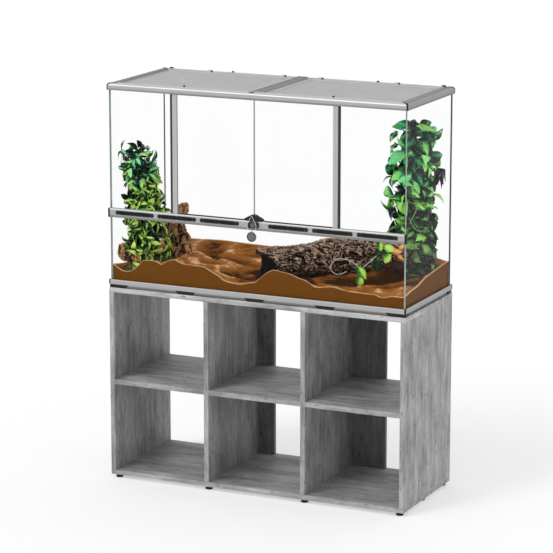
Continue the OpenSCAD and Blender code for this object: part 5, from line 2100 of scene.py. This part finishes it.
@dataclass
class Studio:
    """Camera, a soft lamp, white surroundings and the pale floor."""

    eye: tuple[float, float, float] = (4.0614, -8.7406, 2.9162)
    yaw: float = 24.98
    pitch: float = 12.49
    focal: float = 2693.28
    pixels: float = 553.0
    sensor: float = 36.0
    sky: float = 0.74
    key_power: float = 0.85
    key_angle: float = 22.0
    floor_glow: float = 0.437
    floor_albedo: float = 0.62

    def build(self) -> None:
        """Builds the camera, the world, the lamp and the floor."""
        self.camera()
        self.world()
        self.lamp("key", (40, -28, 0), self.key_power, self.key_angle)
        self.floor()

    def camera(self) -> None:
        """Puts the camera where the photograph was taken from."""
        data = bpy.data.cameras.new("camera")
        data.sensor_width = self.sensor
        data.lens = self.focal * self.sensor / self.pixels
        data.clip_end = 100
        camera = bpy.data.objects.new("camera", data)
        camera.location = self.eye
        camera.rotation_euler = (math.radians(90 - self.pitch), 0, math.radians(self.yaw))
        bpy.context.scene.collection.objects.link(camera)
        bpy.context.scene.camera = camera

    def world(self) -> None:
        """Makes the world white to the eye and to mirrors, and gentler as a light."""
        world = bpy.context.scene.world = bpy.data.worlds.new("studio")
        g = Graph("studio", world)
        rays = g.add("LightPath").outputs
        share = rays["Is Camera Ray"]
        for kind in ("Is Glossy Ray", "Is Transmission Ray"):
            share = g.math("MAXIMUM", share, rays[kind])
        lit, seen = (g.add("Background", {0: WHITE, 1: power}).outputs[0]
                     for power in (self.sky, 1.0))
        mixed = g.add("MixShader", {0: share, 1: lit, 2: seen}).outputs[0]
        g.add("OutputWorld", {0: mixed})

    def lamp(self, name: str, turn: Point, power: float, angle: float) -> None:
        """Adds a broad, soft sun.

        Args:
            name: the lamp's name.
            turn: its turns about X, Y and Z in degrees, from straight down.
            power: its strength.
            angle: how wide it is, in degrees.
        """
        data = bpy.data.lights.new(name, "SUN")
        data.energy = power
        data.angle = math.radians(angle)
        lamp = bpy.data.objects.new(name, data)
        lamp.rotation_euler = [math.radians(a) for a in turn]
        bpy.context.scene.collection.objects.link(lamp)

    def floor(self) -> None:
        """Lays the floor: white, and only as dark as the shadows on it."""
        bench.clear()
        bpy.ops.mesh.primitive_plane_add(size=60, location=(0, 0, 0))
        floor = bpy.context.object
        floor.name = "floor"
        floor.data.materials.append(Graph("floor_white").principled(
            Base_Color=opaque((self.floor_albedo,) * 3), Roughness=0.9, Specular_IOR_Level=0.1,
            Emission_Color=WHITE, Emission_Strength=self.floor_glow))


SMALL_GREEN = Leaf(
    "small", gap=(0.002, 0.008, 0.004), shade=(0.007, 0.060, 0.011), middle=(0.050, 0.26, 0.020),
    bright=(0.72, 1.00, 0.16), cool=(0.08, 0.72, 0.42), cool_from=1.06, foot=(0.10, 0.11, 0.02),
    foot_below=0.86, variegated=0.2, lit_half=0.10, flat=0.20, dim=0.08)
BROAD_GREEN = Leaf(
    "broad", gap=(0.002, 0.008, 0.006), shade=(0.005, 0.058, 0.018), middle=(0.026, 0.26, 0.040),
    bright=(0.42, 0.95, 0.16), cool=(0.07, 0.82, 0.36), cool_from=1.08, foot=(0.026, 0.019, 0.023),
    foot_below=0.99, variegated=0.45, lit_half=0.08, flat=0.20, dim=0.02)
VINE_GREEN = Leaf(
    "vine", gap=(0.003, 0.018, 0.006), shade=(0.015, 0.10, 0.015), middle=(0.09, 0.33, 0.03),
    bright=(0.50, 0.88, 0.10), cool=(0.04, 0.40, 0.20), cool_from=2.0, variegated=0.7)
DRY = Leaf(
    "dry", gap=(0.03, 0.008, 0.006), shade=(0.12, 0.035, 0.018), middle=(0.42, 0.12, 0.05),
    bright=(0.85, 0.42, 0.14), cool=(0.30, 0.10, 0.05), cool_from=2.0, variegated=0.1)


def plants() -> list[Plant]:
    """Gathers the plants' sizes.

    Returns:
        The left plant and the right one.
    """
    left = Spray(
        foot=Vector((-0.500, -0.098, 0.805)), top=Vector((-0.541, -0.095, 1.222)),
        wide=(0.062, 0.064, 0.056, 0.056, 0.056, 0.052, 0.042, 0.050, 0.046),
        twigs=150, leaves=5, size=(0.026, 0.050), open=(35, 85), around=1.0, seed=3, bend=0.020)
    right = Spray(
        foot=Vector((0.502, 0.100, 0.805)), top=Vector((0.488, 0.103, 1.336)),
        wide=(0.044, 0.056, 0.064, 0.068, 0.072, 0.078, 0.072, 0.062, 0.050),
        twigs=165, leaves=3, size=(0.028, 0.068), open=(35, 95), around=0.8, seed=8, uneven=1.15,
        hang=0.25)
    lance, heart = LeafMaker(LeafShape.LANCE), LeafMaker(LeafShape.HEART)
    return [
        Plant("bushy_plant", "plant_left", "foliage_left", left, lance, SMALL_GREEN),
        Plant("climbing_plant", "plant_right", "foliage_right", right, heart, BROAD_GREEN)]


def barks() -> list[CorkBark]:
    """Gathers the barks' blocks.

    Returns:
        The upright bark, and the chips at the left plant's foot.
    """
    upright = CorkBark(
        "cork_block", ("cork_bark",),
        ((-0.494, 0.072, 0.872, 0.014, 0.022, 0.074), (-0.464, 0.058, 0.892, 0.013, 0.022, 0.076),
         (-0.438, 0.064, 0.900, 0.014, 0.024, 0.066), (-0.414, 0.060, 0.862, 0.015, 0.024, 0.040),
         (-0.432, 0.070, 0.978, 0.022, 0.022, 0.034), (-0.398, 0.030, 0.842, 0.022, 0.026, 0.028),
         (-0.430, 0.024, 0.824, 0.022, 0.026, 0.024), (-0.462, 0.028, 0.826, 0.024, 0.026, 0.024),
         (-0.458, 0.092, 0.882, 0.036, 0.016, 0.082)),
        Bark("cork", (0.014, 0.005, 0.006), (0.40, 0.185, 0.072), (0.92, 0.54, 0.24), 260))
    chips = CorkBark(
        "bark_chips", (),
        ((-0.559, -0.172, 0.860, 0.013, 0.014, 0.030), (-0.538, -0.176, 0.844, 0.021, 0.014, 0.022),
         (-0.512, -0.170, 0.832, 0.024, 0.014, 0.016)),
        Bark("chips", (0.012, 0.006, 0.006), (0.17, 0.075, 0.028), (0.70, 0.40, 0.15), 200))
    return [upright, chips]


def main() -> None:
    """Builds every sub-assembly in order and sets the scene."""
    noise.seed_set(NOISE_SEED)
    Studio().build()
    NodeFinishes().build()
    cabinet_and_glass = (Fittings(), GlassWork(), Grilles(), LidMesh(), LidTrim(), Key())
    filling = (SandBed(), HollowLog(), *barks(), *plants(), Vine())
    for assembly in (*cabinet_and_glass, *filling):
        assembly.build()
    bench.clear()
    bpy.context.scene.view_settings.view_transform = "Standard"


if __name__ == "__main__":
    main()
